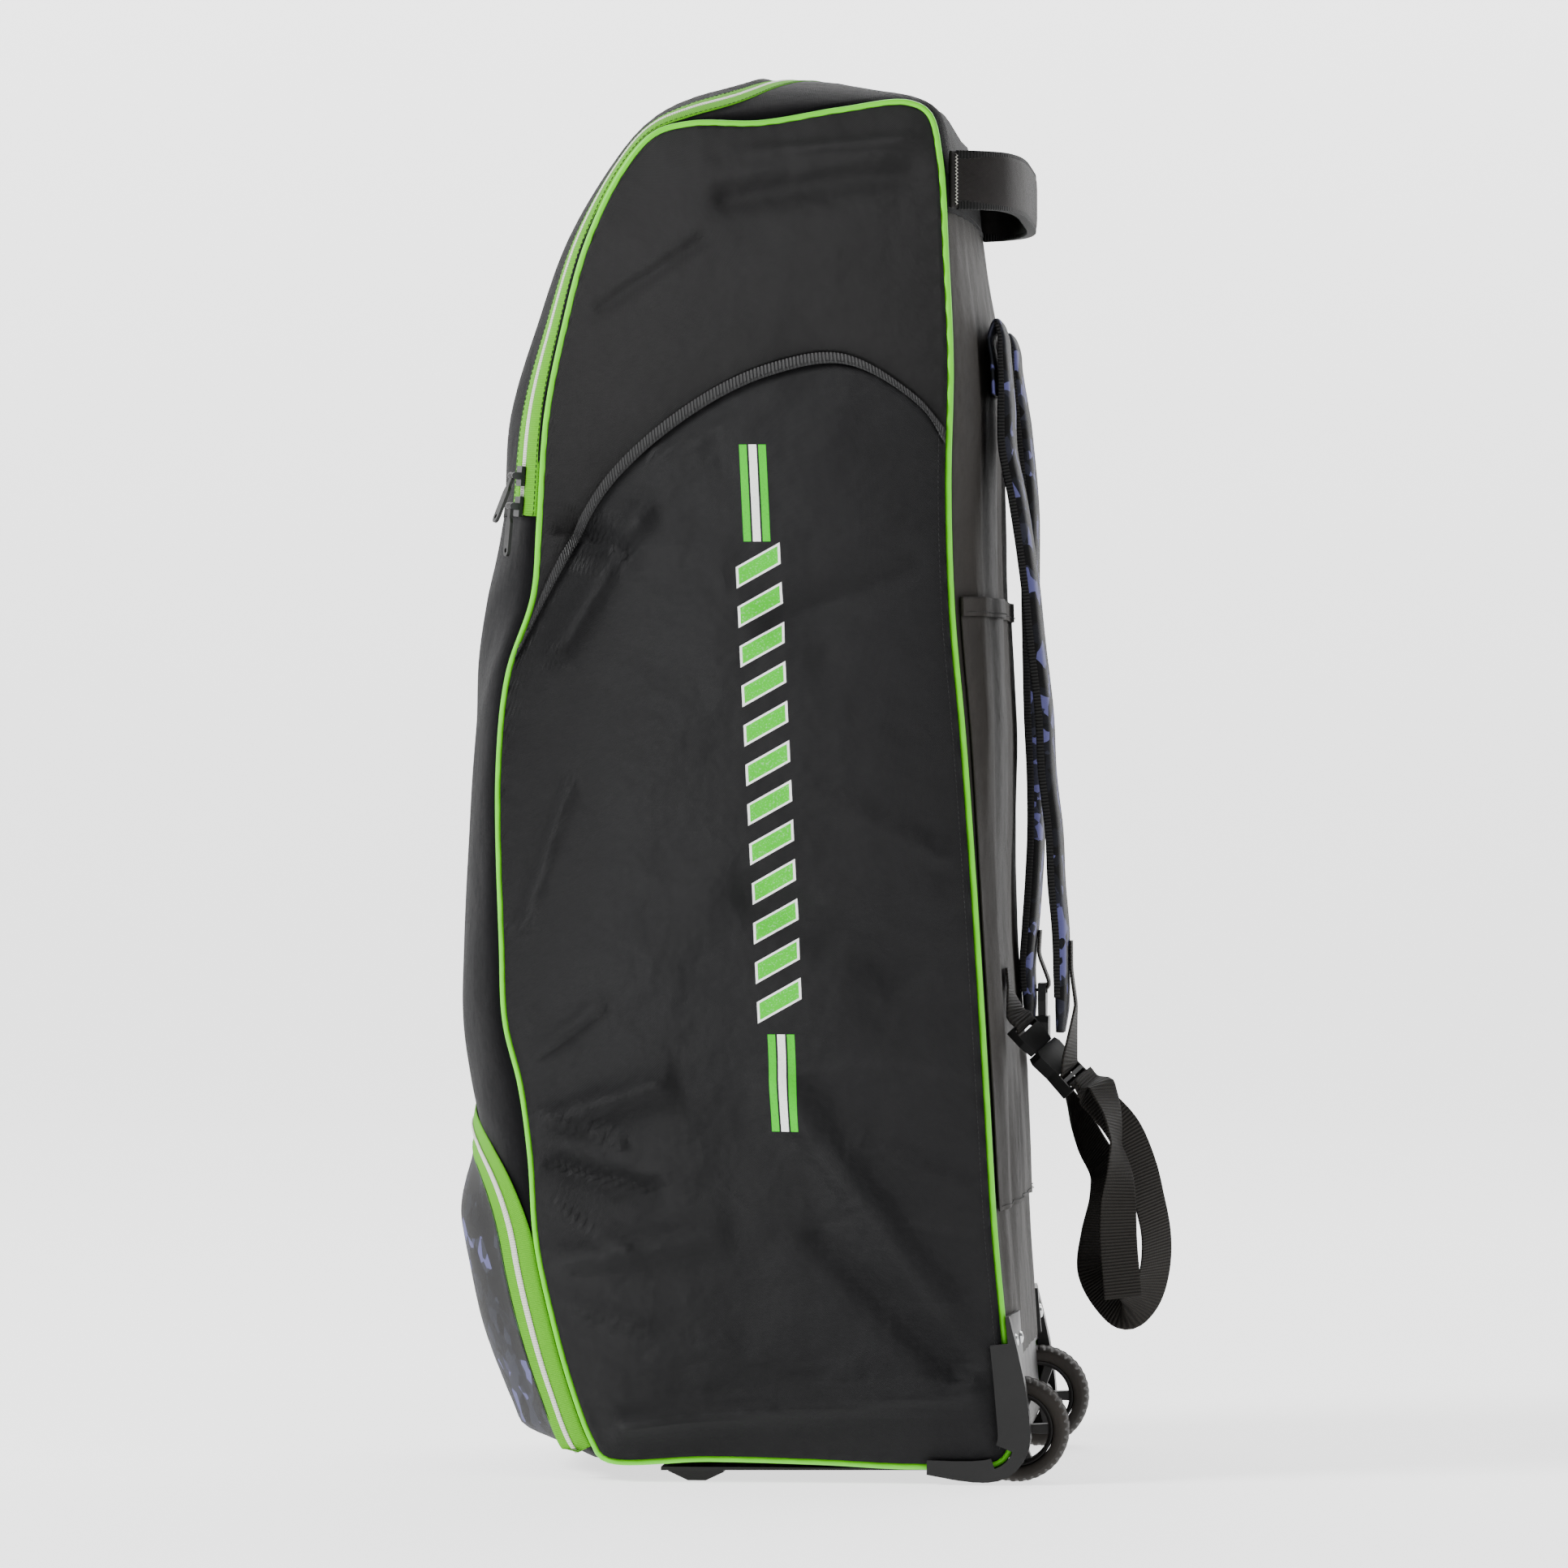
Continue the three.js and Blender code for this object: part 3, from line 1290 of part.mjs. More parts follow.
function offsetLine(from, to, distance, longest = 30, sharpest = 0.3) {
  return stations(from, to, longest, sharpest).map((run) => inset(run, -distance));
}
const cornerFrom = backRun(backFoot) + gap;
const outerLine = offsetLine(cornerFrom, trayBack, trayFace);
const innerLine = offsetLine(cornerFrom, trayBack, trayFace - mouldWall).reverse();
const baseUnderside = stations(trayBack, bottomRun(trayX), 10).map(
  (run) => clothPoint(run, 0, clothWall / 2).z,
);
const plateTop = Math.min(...baseUnderside) - gap;
const lowOuter = outerLine.map(({ x, z }) => ({ x, z: Math.max(z, plateLow) }));
const trayProfile = [
  ...lowOuter,
  { x: trayX, z: plateLow },
  { x: trayX, z: plateTop },
  { x: innerLine[0].x, z: plateTop },
  ...innerLine,
];
const insideLine = offsetLine(cornerFrom, trayBack, trayFace - mouldWall / 2);
const insideProfile = [
  ...insideLine,
  { x: insideLine[0].x - 3 * wheelRadius, z: insideLine[insideLine.length - 1].z },
  { x: insideLine[0].x - 3 * wheelRadius, z: insideLine[0].z },
];
const wellRadius = wheelRadius + wellClearance;
const wellInner = wheelSpread - wheelWidth / 2 - 6;
const ordered = (a, b) => (a < b ? [a, b] : [b, a]);
const wellSides = 28;
let tray = toSolid(prism(trayProfile, -trayHalf, trayHalf));
for (const { side } of sides) {
  const across = ordered(side * wellInner, side * trayHalf);
  const open = ordered(side * (wellInner + mouldWall), side * (trayHalf + 1));
  const drum = toSolid(crossBar(wellRadius + mouldWall, ...across, axleX, wheelRadius, wellSides));
  const hollow = toSolid(crossBar(wellRadius, ...open, axleX, wheelRadius, wellSides));
  const inside = toSolid(prism(insideProfile, -trayHalf, trayHalf));
  tray = tray.add(drum.intersect(inside)).subtract(hollow);
}
addPiece("moulded_base", toGeometry(tray), blackMoulding);

// Axles, from the well's inner wall to the guard
const guardInner = trayHalf + gap;
for (const { name, side } of sides) {
  const ends = ordered(side * (wellInner + mouldWall + gap), side * (guardInner - gap));
  addPiece(`axle_${name}`, crossBar(axleRadius, ends[0], ends[1], axleX, wheelRadius, 14), silverMetal);
}

// Corner guards: a plate outside the piping, lips over it and a strip on the back with its rivets
const guardFrom = backRun(guardTop);
const guardTo = bottomRun(sideDepth / 2 - guardLength);
const guardRun = (share) => THREE.MathUtils.lerp(guardFrom, guardTo, share);
const upperLipRuns = [0.12, 0.6]; // shares of the guard's run; the piping shows between the two lips
const lowerLipRuns = [0.7, 1];
const guardSwell = (share) => 0.34 + 0.66 * Math.sin(Math.PI * clamp01(share * 0.94 + 0.03));
const guardEdge = (run) =>
  inset(run, -Math.max(trayFace + 1, guardReach * guardSwell((run - guardFrom) / (guardTo - guardFrom))));

function guardBand(fromShare, toShare, innerDistance) {
  const runs = stations(guardRun(fromShare), guardRun(toShare), 24, 0.3);
  return [...runs.map(guardEdge), ...runs.map((run) => inset(run, innerDistance)).reverse()];
}
const lipSeats = stations(guardFrom, guardTo, 8).map((run) => sideOut(inset(run, guardLip)));
const lipFrom = Math.max(...lipSeats) + coverSeat + pocketWall + 2 * gap;
const lipTo = lipFrom + guardWall;
const stripFrom = wellInner - 6;
const stripTo = guardInner + 1;
const rivetHeight = 2;

for (const { name, side } of sides) {
  const across = (near, far) => ordered(side * near, side * far);
  const plate = toSolid(prism(guardBand(0, 1, -pipingRadius - gap), ...across(guardInner, lipTo)));
  const upperLip = toSolid(prism(guardBand(...upperLipRuns, guardLip), ...across(lipFrom, lipTo)));
  const lowerLip = toSolid(prism(guardBand(...lowerLipRuns, guardLip / 2), ...across(lipFrom, lipTo)));
  const onBack = (run, at, lift) => {
    const fold = backLift(run, (side * at) / halfGirth(run));
    return { run, side: side * at, lift: clothWall / 2 + fold + 2 * gap + lift };
  };
  const stripGrid = stations(guardFrom, cornerFrom - gap, 16).map((run) =>
    spread(stripFrom, stripTo, 3).map((at) => onBack(run, at, guardWall / 2)),
  );
  const strip = toSolid(clothSheet(stripGrid, guardWall));
  addPiece(`corner_guard_${name}`, toGeometry(plate.add(upperLip).add(lowerLip).add(strip)), blackMoulding);
  [0.22, 0.78].forEach((share, k) => {
    const at = THREE.MathUtils.lerp(stripFrom, stripTo, share);
    const run = THREE.MathUtils.lerp(guardFrom, cornerFrom, 0.55);
    const low = onBack(run, at, guardWall + gap);
    const seat = clothPoint(low.run, low.side, low.lift);
    const outward = clothPoint(low.run, low.side, low.lift + 1).sub(seat).normalize();
    const profile = [
      new THREE.Vector2(0, 0),
      new THREE.Vector2(rivetRadius, 0),
      new THREE.Vector2(rivetRadius * 0.8, rivetHeight * 0.6),
      new THREE.Vector2(0, rivetHeight),
    ];
    const dome = new THREE.LatheGeometry(profile, 10);
    dome.applyQuaternion(new THREE.Quaternion().setFromUnitVectors(new THREE.Vector3(0, 1, 0), outward));
    addPiece(`rivet_${name}_${k + 1}`, dome.translate(seat.x, seat.y, seat.z), silverMetal);
  });
}

// Front feet under the moulded base
const footX = -sideDepth / 2 + footFront;
const footTop = plateLow - gap;
const footProfile = [
  { x: footX, z: footTop },
  { x: footX, z: footTop * 0.9 },
  { x: footX + 0.36 * footLength, z: 0 },
  { x: footX + 0.68 * footLength, z: 0 },
  { x: footX + footLength, z: footTop * 0.8 },
  { x: footX + footLength, z: footTop },
];
for (const { name, side } of sides) {
  const ends = ordered(side * (footSpread - footWidth / 2), side * (footSpread + footWidth / 2));
  addPiece(`foot_${name}`, prism(footProfile, ends[0], ends[1]), blackMoulding);
}

// Zip sliders, each with two lugs and a pin, and the pulls that swing on the pins.
// Local X runs down the zip, local Z out of the cloth.
function box(x, y, z, width, depth, height) {
  return new THREE.BoxGeometry(width, depth, height).translate(x, y, z);
}
const lugWall = 1.6;
const lugInside = 2.6;

function sliderGeometry() {
  const body = toSolid(box(0, 0, sliderWall / 2, sliderLength, sliderWidth, sliderWall));
  const lug = (y) =>
    toSolid(box(0, y, sliderWall + lugRise / 2 - 0.2, 2 * lugRadius, lugWall, lugRise + 0.4)).add(
      toSolid(crossBar(lugRadius, y - lugWall / 2, y + lugWall / 2, 0, sliderWall + lugRise, 8)),
    );
  const spreadLug = lugInside + lugWall / 2;
  const pin = toSolid(crossBar(pinRadius, -spreadLug, spreadLug, 0, sliderWall + lugRise, 8));
  return toGeometry(body.add(lug(-spreadLug)).add(lug(spreadLug)).add(pin));
}

function pullGeometry(swing) {
  const barrelHalf = lugInside - gap;
  const level = sliderWall + lugRise;
  const barrel = toSolid(crossBar(lugRadius, -barrelHalf, barrelHalf, 0, level, 8));
  const neckEnd = 9;
  const neck = toSolid(box(neckEnd / 2, 0, level, neckEnd, 2 * barrelHalf, pullWall));
  const outlineShape = new THREE.Shape();
  const halfPull = pullWidth / 2;
  outlineShape.moveTo(neckEnd - 1, -halfPull * 0.7);
  outlineShape.lineTo(neckEnd + 2, -halfPull);
  outlineShape.absarc(pullLength - halfPull, 0, halfPull, -Math.PI / 2, Math.PI / 2, false);
  outlineShape.lineTo(neckEnd + 2, halfPull);
  outlineShape.lineTo(neckEnd - 1, halfPull * 0.7);
  outlineShape.holes.push(
    new THREE.Path().absarc(pullLength - halfPull, 0, pullEye, 0, Math.PI * 2, true),
  );
  const plate = toSolid(
    new THREE.ExtrudeGeometry(outlineShape, { depth: pullWall, bevelEnabled: false, curveSegments: 3 }).translate(
      0,
      0,
      level - pullWall / 2,
    ),
  );
  const bore = toSolid(crossBar(pinRadius + gap, -barrelHalf - 1, barrelHalf + 1, 0, level, 8));
  return toGeometry(barrel.add(neck).add(plate).subtract(bore))
    .translate(0, 0, -level)
    .rotateY(-THREE.MathUtils.degToRad(swing))
    .translate(0, 0, level);
}

// Frame on a zip: X down the zip, Z out of the cloth.
function zipFrame(run, side, lift) {
  const origin = clothPoint(run, side, lift);
  const down = clothPoint(run - 5, side, lift).sub(clothPoint(run + 5, side, lift)).normalize();
  const out = clothPoint(run, side, lift + 5).sub(origin).normalize();
  const across = out.clone().cross(down).normalize();
  return new THREE.Matrix4()
    .makeBasis(down, across, down.clone().cross(across))
    .setPosition(origin);
}
const sliderSeat = coilWall / 2 + 0.4 + gap;
const sliderRows = [
  { name: "upper", run: frontRun(upperSlider), edge: zipEdge, side: -1, lift: sliderSeat, swing: 18 },
  { name: "lower", run: frontRun(lowerSlider), edge: zipEdge, side: -1, lift: sliderSeat, swing: 0 },
  {
    name: "pocket",
    run: frontRun(pocketFoot + pocketSlider),
    edge: pocketEdge,
    side: 1,
    lift: coilLift + 0.6 + sliderSeat,
    swing: 0,
  },
];
for (const { name, run, edge, side, lift, swing } of sliderRows) {
  const frame = zipFrame(run, side * (halfGirth(run) - edge), lift);
  addPiece(`slider_${name}`, sliderGeometry().applyMatrix4(frame), darkMetal);
  addPiece(`pull_${name}`, pullGeometry(swing).applyMatrix4(frame), blackMoulding);
}

// Origin: middle of the overall box, on the floor
const whole = new THREE.Box3().setFromObject(group, true);
group.position.set(-(whole.min.x + whole.max.x) / 2, -(whole.min.y + whole.max.y) / 2, -whole.min.z);

export default group;
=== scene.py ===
import bpy
import math
import numpy as np
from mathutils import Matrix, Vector


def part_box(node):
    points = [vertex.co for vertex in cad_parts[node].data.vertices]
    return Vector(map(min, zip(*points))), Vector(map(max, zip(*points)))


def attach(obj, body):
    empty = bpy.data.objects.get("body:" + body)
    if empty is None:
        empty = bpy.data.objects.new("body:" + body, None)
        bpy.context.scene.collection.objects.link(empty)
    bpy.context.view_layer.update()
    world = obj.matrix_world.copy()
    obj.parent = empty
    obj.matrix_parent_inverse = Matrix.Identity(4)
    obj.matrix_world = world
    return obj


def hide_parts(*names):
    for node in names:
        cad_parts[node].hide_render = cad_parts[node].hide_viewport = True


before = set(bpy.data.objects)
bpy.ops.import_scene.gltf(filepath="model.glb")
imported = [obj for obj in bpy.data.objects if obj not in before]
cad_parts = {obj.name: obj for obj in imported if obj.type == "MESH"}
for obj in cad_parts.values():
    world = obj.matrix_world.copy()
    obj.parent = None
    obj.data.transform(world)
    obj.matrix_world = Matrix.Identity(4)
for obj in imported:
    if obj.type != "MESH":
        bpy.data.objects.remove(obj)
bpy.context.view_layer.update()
print("frame loaded")

# Sizes of the bag in millimetres, in the frame that the outline is drawn in
bag = {
    "width": 350, "depth": 331, "height": 876, "floorGap": 11.5, "pipingRadius": 2.2,
    "clothWall": 2, "gap": 0.3, "crown": 11, "hem": 7,
}
tyreLow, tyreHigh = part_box("wheel_tyre_right")
axleX = bag["depth"] / 2 + 2
shiftX = (tyreLow[0] + tyreHigh[0]) * 500 - axleX

# Side outline: across and up are shares of depth and height, bulge a share of the width
outlineRows = np.array([
    (0.216, 0.003, 0.008), (0.183, 0.017, 0.072), (0.143, 0.057, 0.086), (0.104, 0.11, 0.1),
    (0.074, 0.164, 0.103), (0.062, 0.227, 0.12), (0.0435, 0.278, 0.132), (0.0133, 0.325, 0.12),
    (0.0064, 0.381, 0.115), (0, 0.512, 0.083), (0.019, 0.581, 0.09), (0.068, 0.638, 0.124),
    (0.08, 0.695, 0.108), (0.095, 0.7725, 0.097), (0.128, 0.835, 0.077), (0.1735, 0.898, 0.062),
    (0.243, 0.952, 0.048), (0.3035, 0.978, 0.052), (0.376, 0.9857, 0.075), (0.51, 0.9857, 0.108),
    (0.668, 0.995, 0.078), (0.7995, 1, 0.028), (0.839, 0.992, 0.022), (0.86, 0.96, 0.024),
    (0.872, 0.889, 0.036), (0.881, 0.809, 0.05), (0.8766, 0.718, 0.058), (0.884, 0.626, 0.056),
    (0.905, 0.535, 0.045), (0.9295, 0.4037, 0.02), (0.9507, 0.2724, 0.02), (0.966, 0.175, 0.016),
    (0.984, 0.101, 0.016), (0.9991, 0.038, 0.014), (1, 0.0166, 0.012), (0.975, 0.003, 0.006),
    (0.815, 0, 0.001), (0.618, 0.003, 0.001), (0.406, 0.0046, 0.001),
])


def curvePoint(points, t, closed):
    count = len(points)
    place = (count if closed else count - 1) * t
    low = min(int(math.floor(place)), count - 1 if closed else count - 2)
    share = place - low
    p1, p2 = points[low % count], points[(low + 1) % count]
    p0 = points[(low - 1) % count] if closed or low > 0 else 2 * p1 - p2
    p3 = points[(low + 2) % count] if closed or low + 2 < count else 2 * p2 - p1
    d0, d1, d2 = (max(np.sum((a - b) ** 2) ** 0.25, 1e-4) for a, b in ((p0, p1), (p1, p2), (p2, p3)))
    t1 = ((p1 - p0) / d0 - (p2 - p0) / (d0 + d1) + (p2 - p1) / d1) * d1
    t2 = ((p2 - p1) / d1 - (p3 - p1) / (d1 + d2) + (p3 - p2) / d2) * d1
    c2 = -3 * p1 + 3 * p2 - 2 * t1 - t2
    c3 = 2 * p1 - 2 * p2 + t1 + t2
    return p1 + share * (t1 + share * (c2 + share * c3))


outlinePoints = np.array([
    ((across - 0.5) * bag["depth"], bag["floorGap"] + up * bag["height"], bulge * bag["width"])
    for across, up, bulge in outlineRows
])
samples = np.array([
    curvePoint(outlinePoints, (k / (24 * len(outlinePoints))) % 1, True)
    for k in range(24 * len(outlinePoints) + 1)
])
steps = np.hypot(np.diff(samples[:, 0]), np.diff(samples[:, 1]))
runs = np.concatenate([[0], np.cumsum(steps)])
fullRun = runs[-1]
crestRun = runs[np.argmax(samples[:, 1])]
cornerRun = runs[np.argmax(samples[:, 0])]


def outlineAt(run):
    wanted = run % fullRun
    return [float(np.interp(wanted, runs, samples[:, k])) for k in range(3)]


def outwardAt(run):
    x0, z0, _ = outlineAt(run - 4)
    x1, z1, _ = outlineAt(run + 4)
    length = math.hypot(x1 - x0, z1 - z0)
    return (z0 - z1) / length, (x1 - x0) / length


def firstRun(start, test):
    for run, sample in zip(runs, samples):
        if run >= start and test(sample):
            return float(run)
    return float(fullRun)


def frontRun(z):
    return firstRun(0, lambda s: s[1] >= z)


def backRun(z):
    return firstRun(crestRun, lambda s: s[1] <= z)


def topRun(x):
    return firstRun(frontRun(bag["floorGap"] + bag["height"] * 0.9), lambda s: s[0] >= x)


def bottomRun(x):
    return firstRun(cornerRun, lambda s: s[0] <= x)


# Section of the cloth between the two sides
clothHalf = bag["width"] / 2 - bag["pipingRadius"] - bag["clothWall"] / 2 - bag["gap"]
sectionV = np.sin(np.linspace(0, math.pi / 2, 41))
sectionCrown = np.power(np.maximum(0, 1 - sectionV ** 2.4), 0.6)
sectionCache = {}


def section(run):
    key = round(run, 0)
    if key not in sectionCache:
        y = sectionV * clothHalf
        out = outlineAt(run)[2] * sectionCrown
        girth = np.concatenate([[0], np.cumsum(np.hypot(np.diff(y), np.diff(out)))])
        sectionCache[key] = (y, out, girth)
    return sectionCache[key]


def halfGirth(run):
    return float(section(run)[2][-1])


def clothPoint(run, side, lift=0.0):
    y, out, girth = section(run)
    wanted = min(abs(side), girth[-1])
    yHere, outHere = np.interp(wanted, girth, y), np.interp(wanted, girth, out)
    near, far = max(0, wanted - 2), min(girth[-1], wanted + 2)
    dy = np.interp(far, girth, y) - np.interp(near, girth, y)
    dOut = np.interp(far, girth, out) - np.interp(near, girth, out)
    length = math.hypot(dy, dOut)
    outHere += dy / length * lift
    yHere -= dOut / length * lift
    x, z, _ = outlineAt(run)
    outX, outZ = outwardAt(run)
    return x + outX * outHere, (yHere if side >= 0 else -yHere), z + outZ * outHere


def smooth(t):
    t = min(1.0, max(0.0, t))
    return t * t * (3 - 2 * t)


def lerp(a, b, t):
    return a + (b - a) * t


# Small repeatable waves, for creases that nothing else draws
def ripple(u, v, seed):
    total = 0
    for k in range(4):
        a = math.sin(seed * 12.9 + k * 78.2) * 6.3
        b = math.cos(seed * 4.7 + k * 31.4) * 6.3
        f = 1.6 ** k
        total += math.sin(u * f * math.cos(a) + v * f * math.sin(a) + b) / f
    return total / 2


# Shader nodes
class Wire:
    def __init__(self, graph, socket):
        self.graph = graph
        self.socket = socket

    def math(self, operation, *others, clamp=False):
        return self.graph.math(operation, self, *others, clamp=clamp)

    def __add__(self, other):
        return self.math("ADD", other)

    def __sub__(self, other):
        return self.math("SUBTRACT", other)

    def __mul__(self, other):
        return self.math("MULTIPLY", other)

    def __truediv__(self, other):
        return self.math("DIVIDE", other)

    def __radd__(self, other):
        return self.graph.math("ADD", other, self)

    def __rsub__(self, other):
        return self.graph.math("SUBTRACT", other, self)

    def __rmul__(self, other):
        return self.graph.math("MULTIPLY", other, self)

    def __rtruediv__(self, other):
        return self.graph.math("DIVIDE", other, self)

    def sine(self):
        return self.math("SINE")

    def fraction(self):
        return self.math("FRACT")

    def above(self, limit):
        return self.math("GREATER_THAN", limit)

    def below(self, limit):
        return self.math("LESS_THAN", limit)

    def ramp(self, low, high):
        node = self.graph.node("ShaderNodeMapRange", {"clamp": True},
                               {"Value": self, "From Min": low, "From Max": high})
        return self.graph.wire(node)


class Graph:
    def __init__(self, name):
        self.material = bpy.data.materials.new(name)
        self.material.use_nodes = True
        self.tree = self.material.node_tree
        self.tree.nodes.clear()
        self.uvWire = None

    def node(self, kind, settings=None, inputs=None):
        node = self.tree.nodes.new(kind)
        for name, value in (settings or {}).items():
            setattr(node, name, value)
        for name, value in (inputs or {}).items():
            socket = node.inputs[name]
            if isinstance(value, Wire):
                self.tree.links.new(value.socket, socket)
            else:
                socket.default_value = value
        return node

    def wire(self, node, output=0):
        return Wire(self, node.outputs[output])

    def math(self, operation, *values, clamp=False):
        settings = {"operation": operation, "use_clamp": clamp}
        return self.wire(self.node("ShaderNodeMath", settings, dict(enumerate(values))))

    def mix(self, share, low, high):
        node = self.node("ShaderNodeMix", {"data_type": "RGBA"}, {0: share, 6: low, 7: high})
        return self.wire(node, 2)

    def uv(self):
        if self.uvWire is None:
            node = self.node("ShaderNodeUVMap", {"uv_map": "cloth"})
            self.uvWire = self.wire(self.node("ShaderNodeSeparateXYZ", None, {0: self.wire(node)}))
        split = self.uvWire.socket.node
        return self.wire(split, 0), self.wire(split, 1)

    def place(self):
        return self.wire(self.node("ShaderNodeTexCoord"), 3)

    def placeXYZ(self):
        split = self.node("ShaderNodeSeparateXYZ", None, {0: self.place()})
        return [self.wire(split, k) for k in range(3)]

    def noise(self, scale, detail=3.0, roughness=0.55, vector=None):
        node = self.node("ShaderNodeTexNoise", {"noise_dimensions": "3D"}, {
            "Vector": vector or self.place(), "Scale": scale, "Detail": detail, "Roughness": roughness,
        })
        return self.wire(node)

    # Crushed cloth: soft waves with a few sharp ridges between flat patches
    def crumple(self):
        wander = self.node("ShaderNodeTexNoise", None, {"Vector": self.place(), "Scale": 9, "Detail": 2.0})
        moved = self.node("ShaderNodeVectorMath", {"operation": "MULTIPLY_ADD"},
                          {0: self.wire(wander, 1), 1: (0.12, 0.12, 0.12), 2: self.place()})
        patches = self.node("ShaderNodeTexVoronoi", {"feature": "F1"},
                            {"Vector": self.wire(moved), "Scale": 13})
        return self.noise(11, 4, 0.55) * 1.5 + self.wire(patches) * 0.35

    def bump(self, height, distance, strength=1.0, normal=None):
        inputs = {"Height": height, "Distance": distance, "Strength": strength}
        if normal is not None:
            inputs["Normal"] = normal
        return self.wire(self.node("ShaderNodeBump", None, inputs))

    def finish(self, color, roughness, normal=None, **fixed):
        inputs = {"Base Color": color, "Roughness": roughness}
        if normal is not None:
            inputs["Normal"] = normal
        inputs.update({name.replace("_", " "): value for name, value in fixed.items()})
        shader = self.node("ShaderNodeBsdfPrincipled", None, inputs)
        self.node("ShaderNodeOutputMaterial", None, {"Surface": self.wire(shader)})
        return self.material


def linear(red, green, blue):
    channels = [c / 255 for c in (red, green, blue)]
    return [c / 12.92 if c <= 0.04045 else ((c + 0.055) / 1.055) ** 2.4 for c in channels] + [1]


def weave(g, pitch):
    u, v = g.uv()
    turn = 2 * math.pi / pitch
    return (u * turn).sine() * (v * turn).sine()


def clothMaterial(name, dark, light, pitch=0.0009, shine=0.05, creases=0.0):
    g = Graph(name)
    broad = g.noise(7, 4, 0.6)
    fine = g.noise(420, 2, 0.6)
    share = (broad.ramp(0.3, 0.75) * 0.6 + fine * 0.5).math("MULTIPLY", 0.9, clamp=True)
    threads = weave(g, pitch)
    color = g.mix(share, linear(*dark), linear(*light))
    normal = g.bump(threads * 0.5 + fine * 0.8, 0.00022)
    if creases:
        normal = g.bump(g.crumple(), creases, normal=normal)
    rough = fine * 0.12 + 0.5
    return g.finish(color, rough, normal, Specular_IOR_Level=shine)


blackCloth = clothMaterial("black_cloth", (5, 5, 6), (15, 15, 17), shine=0.03, creases=0.005)
upperCloth = clothMaterial("upper_cloth", (8, 8, 8), (22, 21, 22), shine=0.2, creases=0.006)
greyCloth = clothMaterial("grey_cloth", (26, 24, 23), (50, 47, 44), shine=0.08, creases=0.006)

# Printed bars and slanted lozenges down the side pocket: heights and widths in metres
print_ = {
    "topX": -0.0004, "topZ": 0.6678, "lowX": 0.021, "lowZ": 0.2268, "barLength": 0.0622,
    "stripe": 0.0051, "stripeStep": 0.0062, "lozengeHalf": 0.0145, "lozengePitch": 0.0254,
    "lozengeGap": 0.0055, "lozenges": 12,
}


def sideMaterial():
    g = Graph("side_cloth")
    broad = g.noise(6, 4, 0.6)
    fine = g.noise(420, 2, 0.6)
    share = (broad.ramp(0.3, 0.75) * 0.6 + fine * 0.5).math("MULTIPLY", 0.9, clamp=True)
    cloth = g.mix(share, linear(4, 4, 5), linear(12, 12, 14))
    x, _, z = g.placeXYZ()
    along = (print_["topZ"] - z) / (print_["topZ"] - print_["lowZ"])
    axis = along * (print_["lowX"] - print_["topX"]) + (print_["topX"] + shiftX / 1000)
    off = x - axis
    drop = print_["topZ"] - z
    total = print_["topZ"] - print_["lowZ"]
    bar = print_["barLength"]
    inTop = drop.above(0) * drop.below(bar)
    inLow = drop.above(total - bar) * drop.below(total)
    inBars = inTop + inLow
    half = print_["stripe"] / 2
    middle = off.math("ABSOLUTE").below(half)
    sides = (off.math("ABSOLUTE") - print_["stripeStep"]).math("ABSOLUTE").below(half * 0.95)
    slope = drop + off * 0.55 - (bar + print_["lozengeGap"])
    inside = slope.above(0) * slope.below(print_["lozengePitch"] * print_["lozenges"])
    band = off.math("ABSOLUTE").below(print_["lozengeHalf"])
    slant = (slope / print_["lozengePitch"]).fraction()
    lozenge = inside * band * slant.above(0.12) * slant.below(0.66)
    inner = (
        inside * off.math("ABSOLUTE").below(print_["lozengeHalf"] - 0.0016)
        * slant.above(0.18) * slant.below(0.6)
    )
    green = linear(48, 190, 10)
    white = linear(246, 247, 244)
    ink = g.noise(900, 2, 0.5).ramp(0.25, 0.45) * 0.25 + 0.75
    color = g.mix(inBars * sides * ink, cloth, green)
    color = g.mix(inBars * middle * ink, color, white)
    color = g.mix(lozenge * ink, color, white)
    color = g.mix(inner * ink, color, green)
    normal = g.bump(weave(g, 0.0009) * 0.5 + fine * 0.8, 0.00022)
    normal = g.bump(g.crumple(), 0.0065, normal=normal)
    return g.finish(color, fine * 0.12 + 0.42, normal, Specular_IOR_Level=0.19)


sideCloth = sideMaterial()


# Faceted print: straight-edged patches in a few dark tones and some lavender
def facetMaterial(name, scale, lavender):
    g = Graph(name)
    place = g.place()
    cells = []
    for size, seed in ((scale, 0.0), (scale * 1.7, 3.1)):
        moved = g.node("ShaderNodeVectorMath", {"operation": "ADD"}, {0: place, 1: (seed, seed, seed)})
        node = g.node("ShaderNodeTexVoronoi", None,
                      {"Vector": g.wire(moved), "Scale": size, "Randomness": 1.0})
        split = g.node("ShaderNodeSeparateColor", None, {0: g.wire(node, 1)})
        cells.append(g.wire(split, 0))
    tone = cells[0] * 0.62 + cells[1] * 0.38
    color = g.mix(tone.ramp(0.42, 0.46), linear(7, 7, 8), linear(19, 20, 25))
    color = g.mix(tone.ramp(0.6, 0.63), color, linear(34, 35, 45))
    color = g.mix(tone.ramp(lavender, lavender + 0.02), color, linear(76, 76, 118))
    fine = g.noise(420, 2, 0.6)
    normal = g.bump(weave(g, 0.0009) * 0.5 + fine * 0.8, 0.00022)
    return g.finish(color, fine * 0.12 + 0.5, normal, Specular_IOR_Level=0.1)


facetCloth = facetMaterial("facet_cloth", 52, 0.8)
strapCloth = facetMaterial("strap_cloth", 62, 0.7)


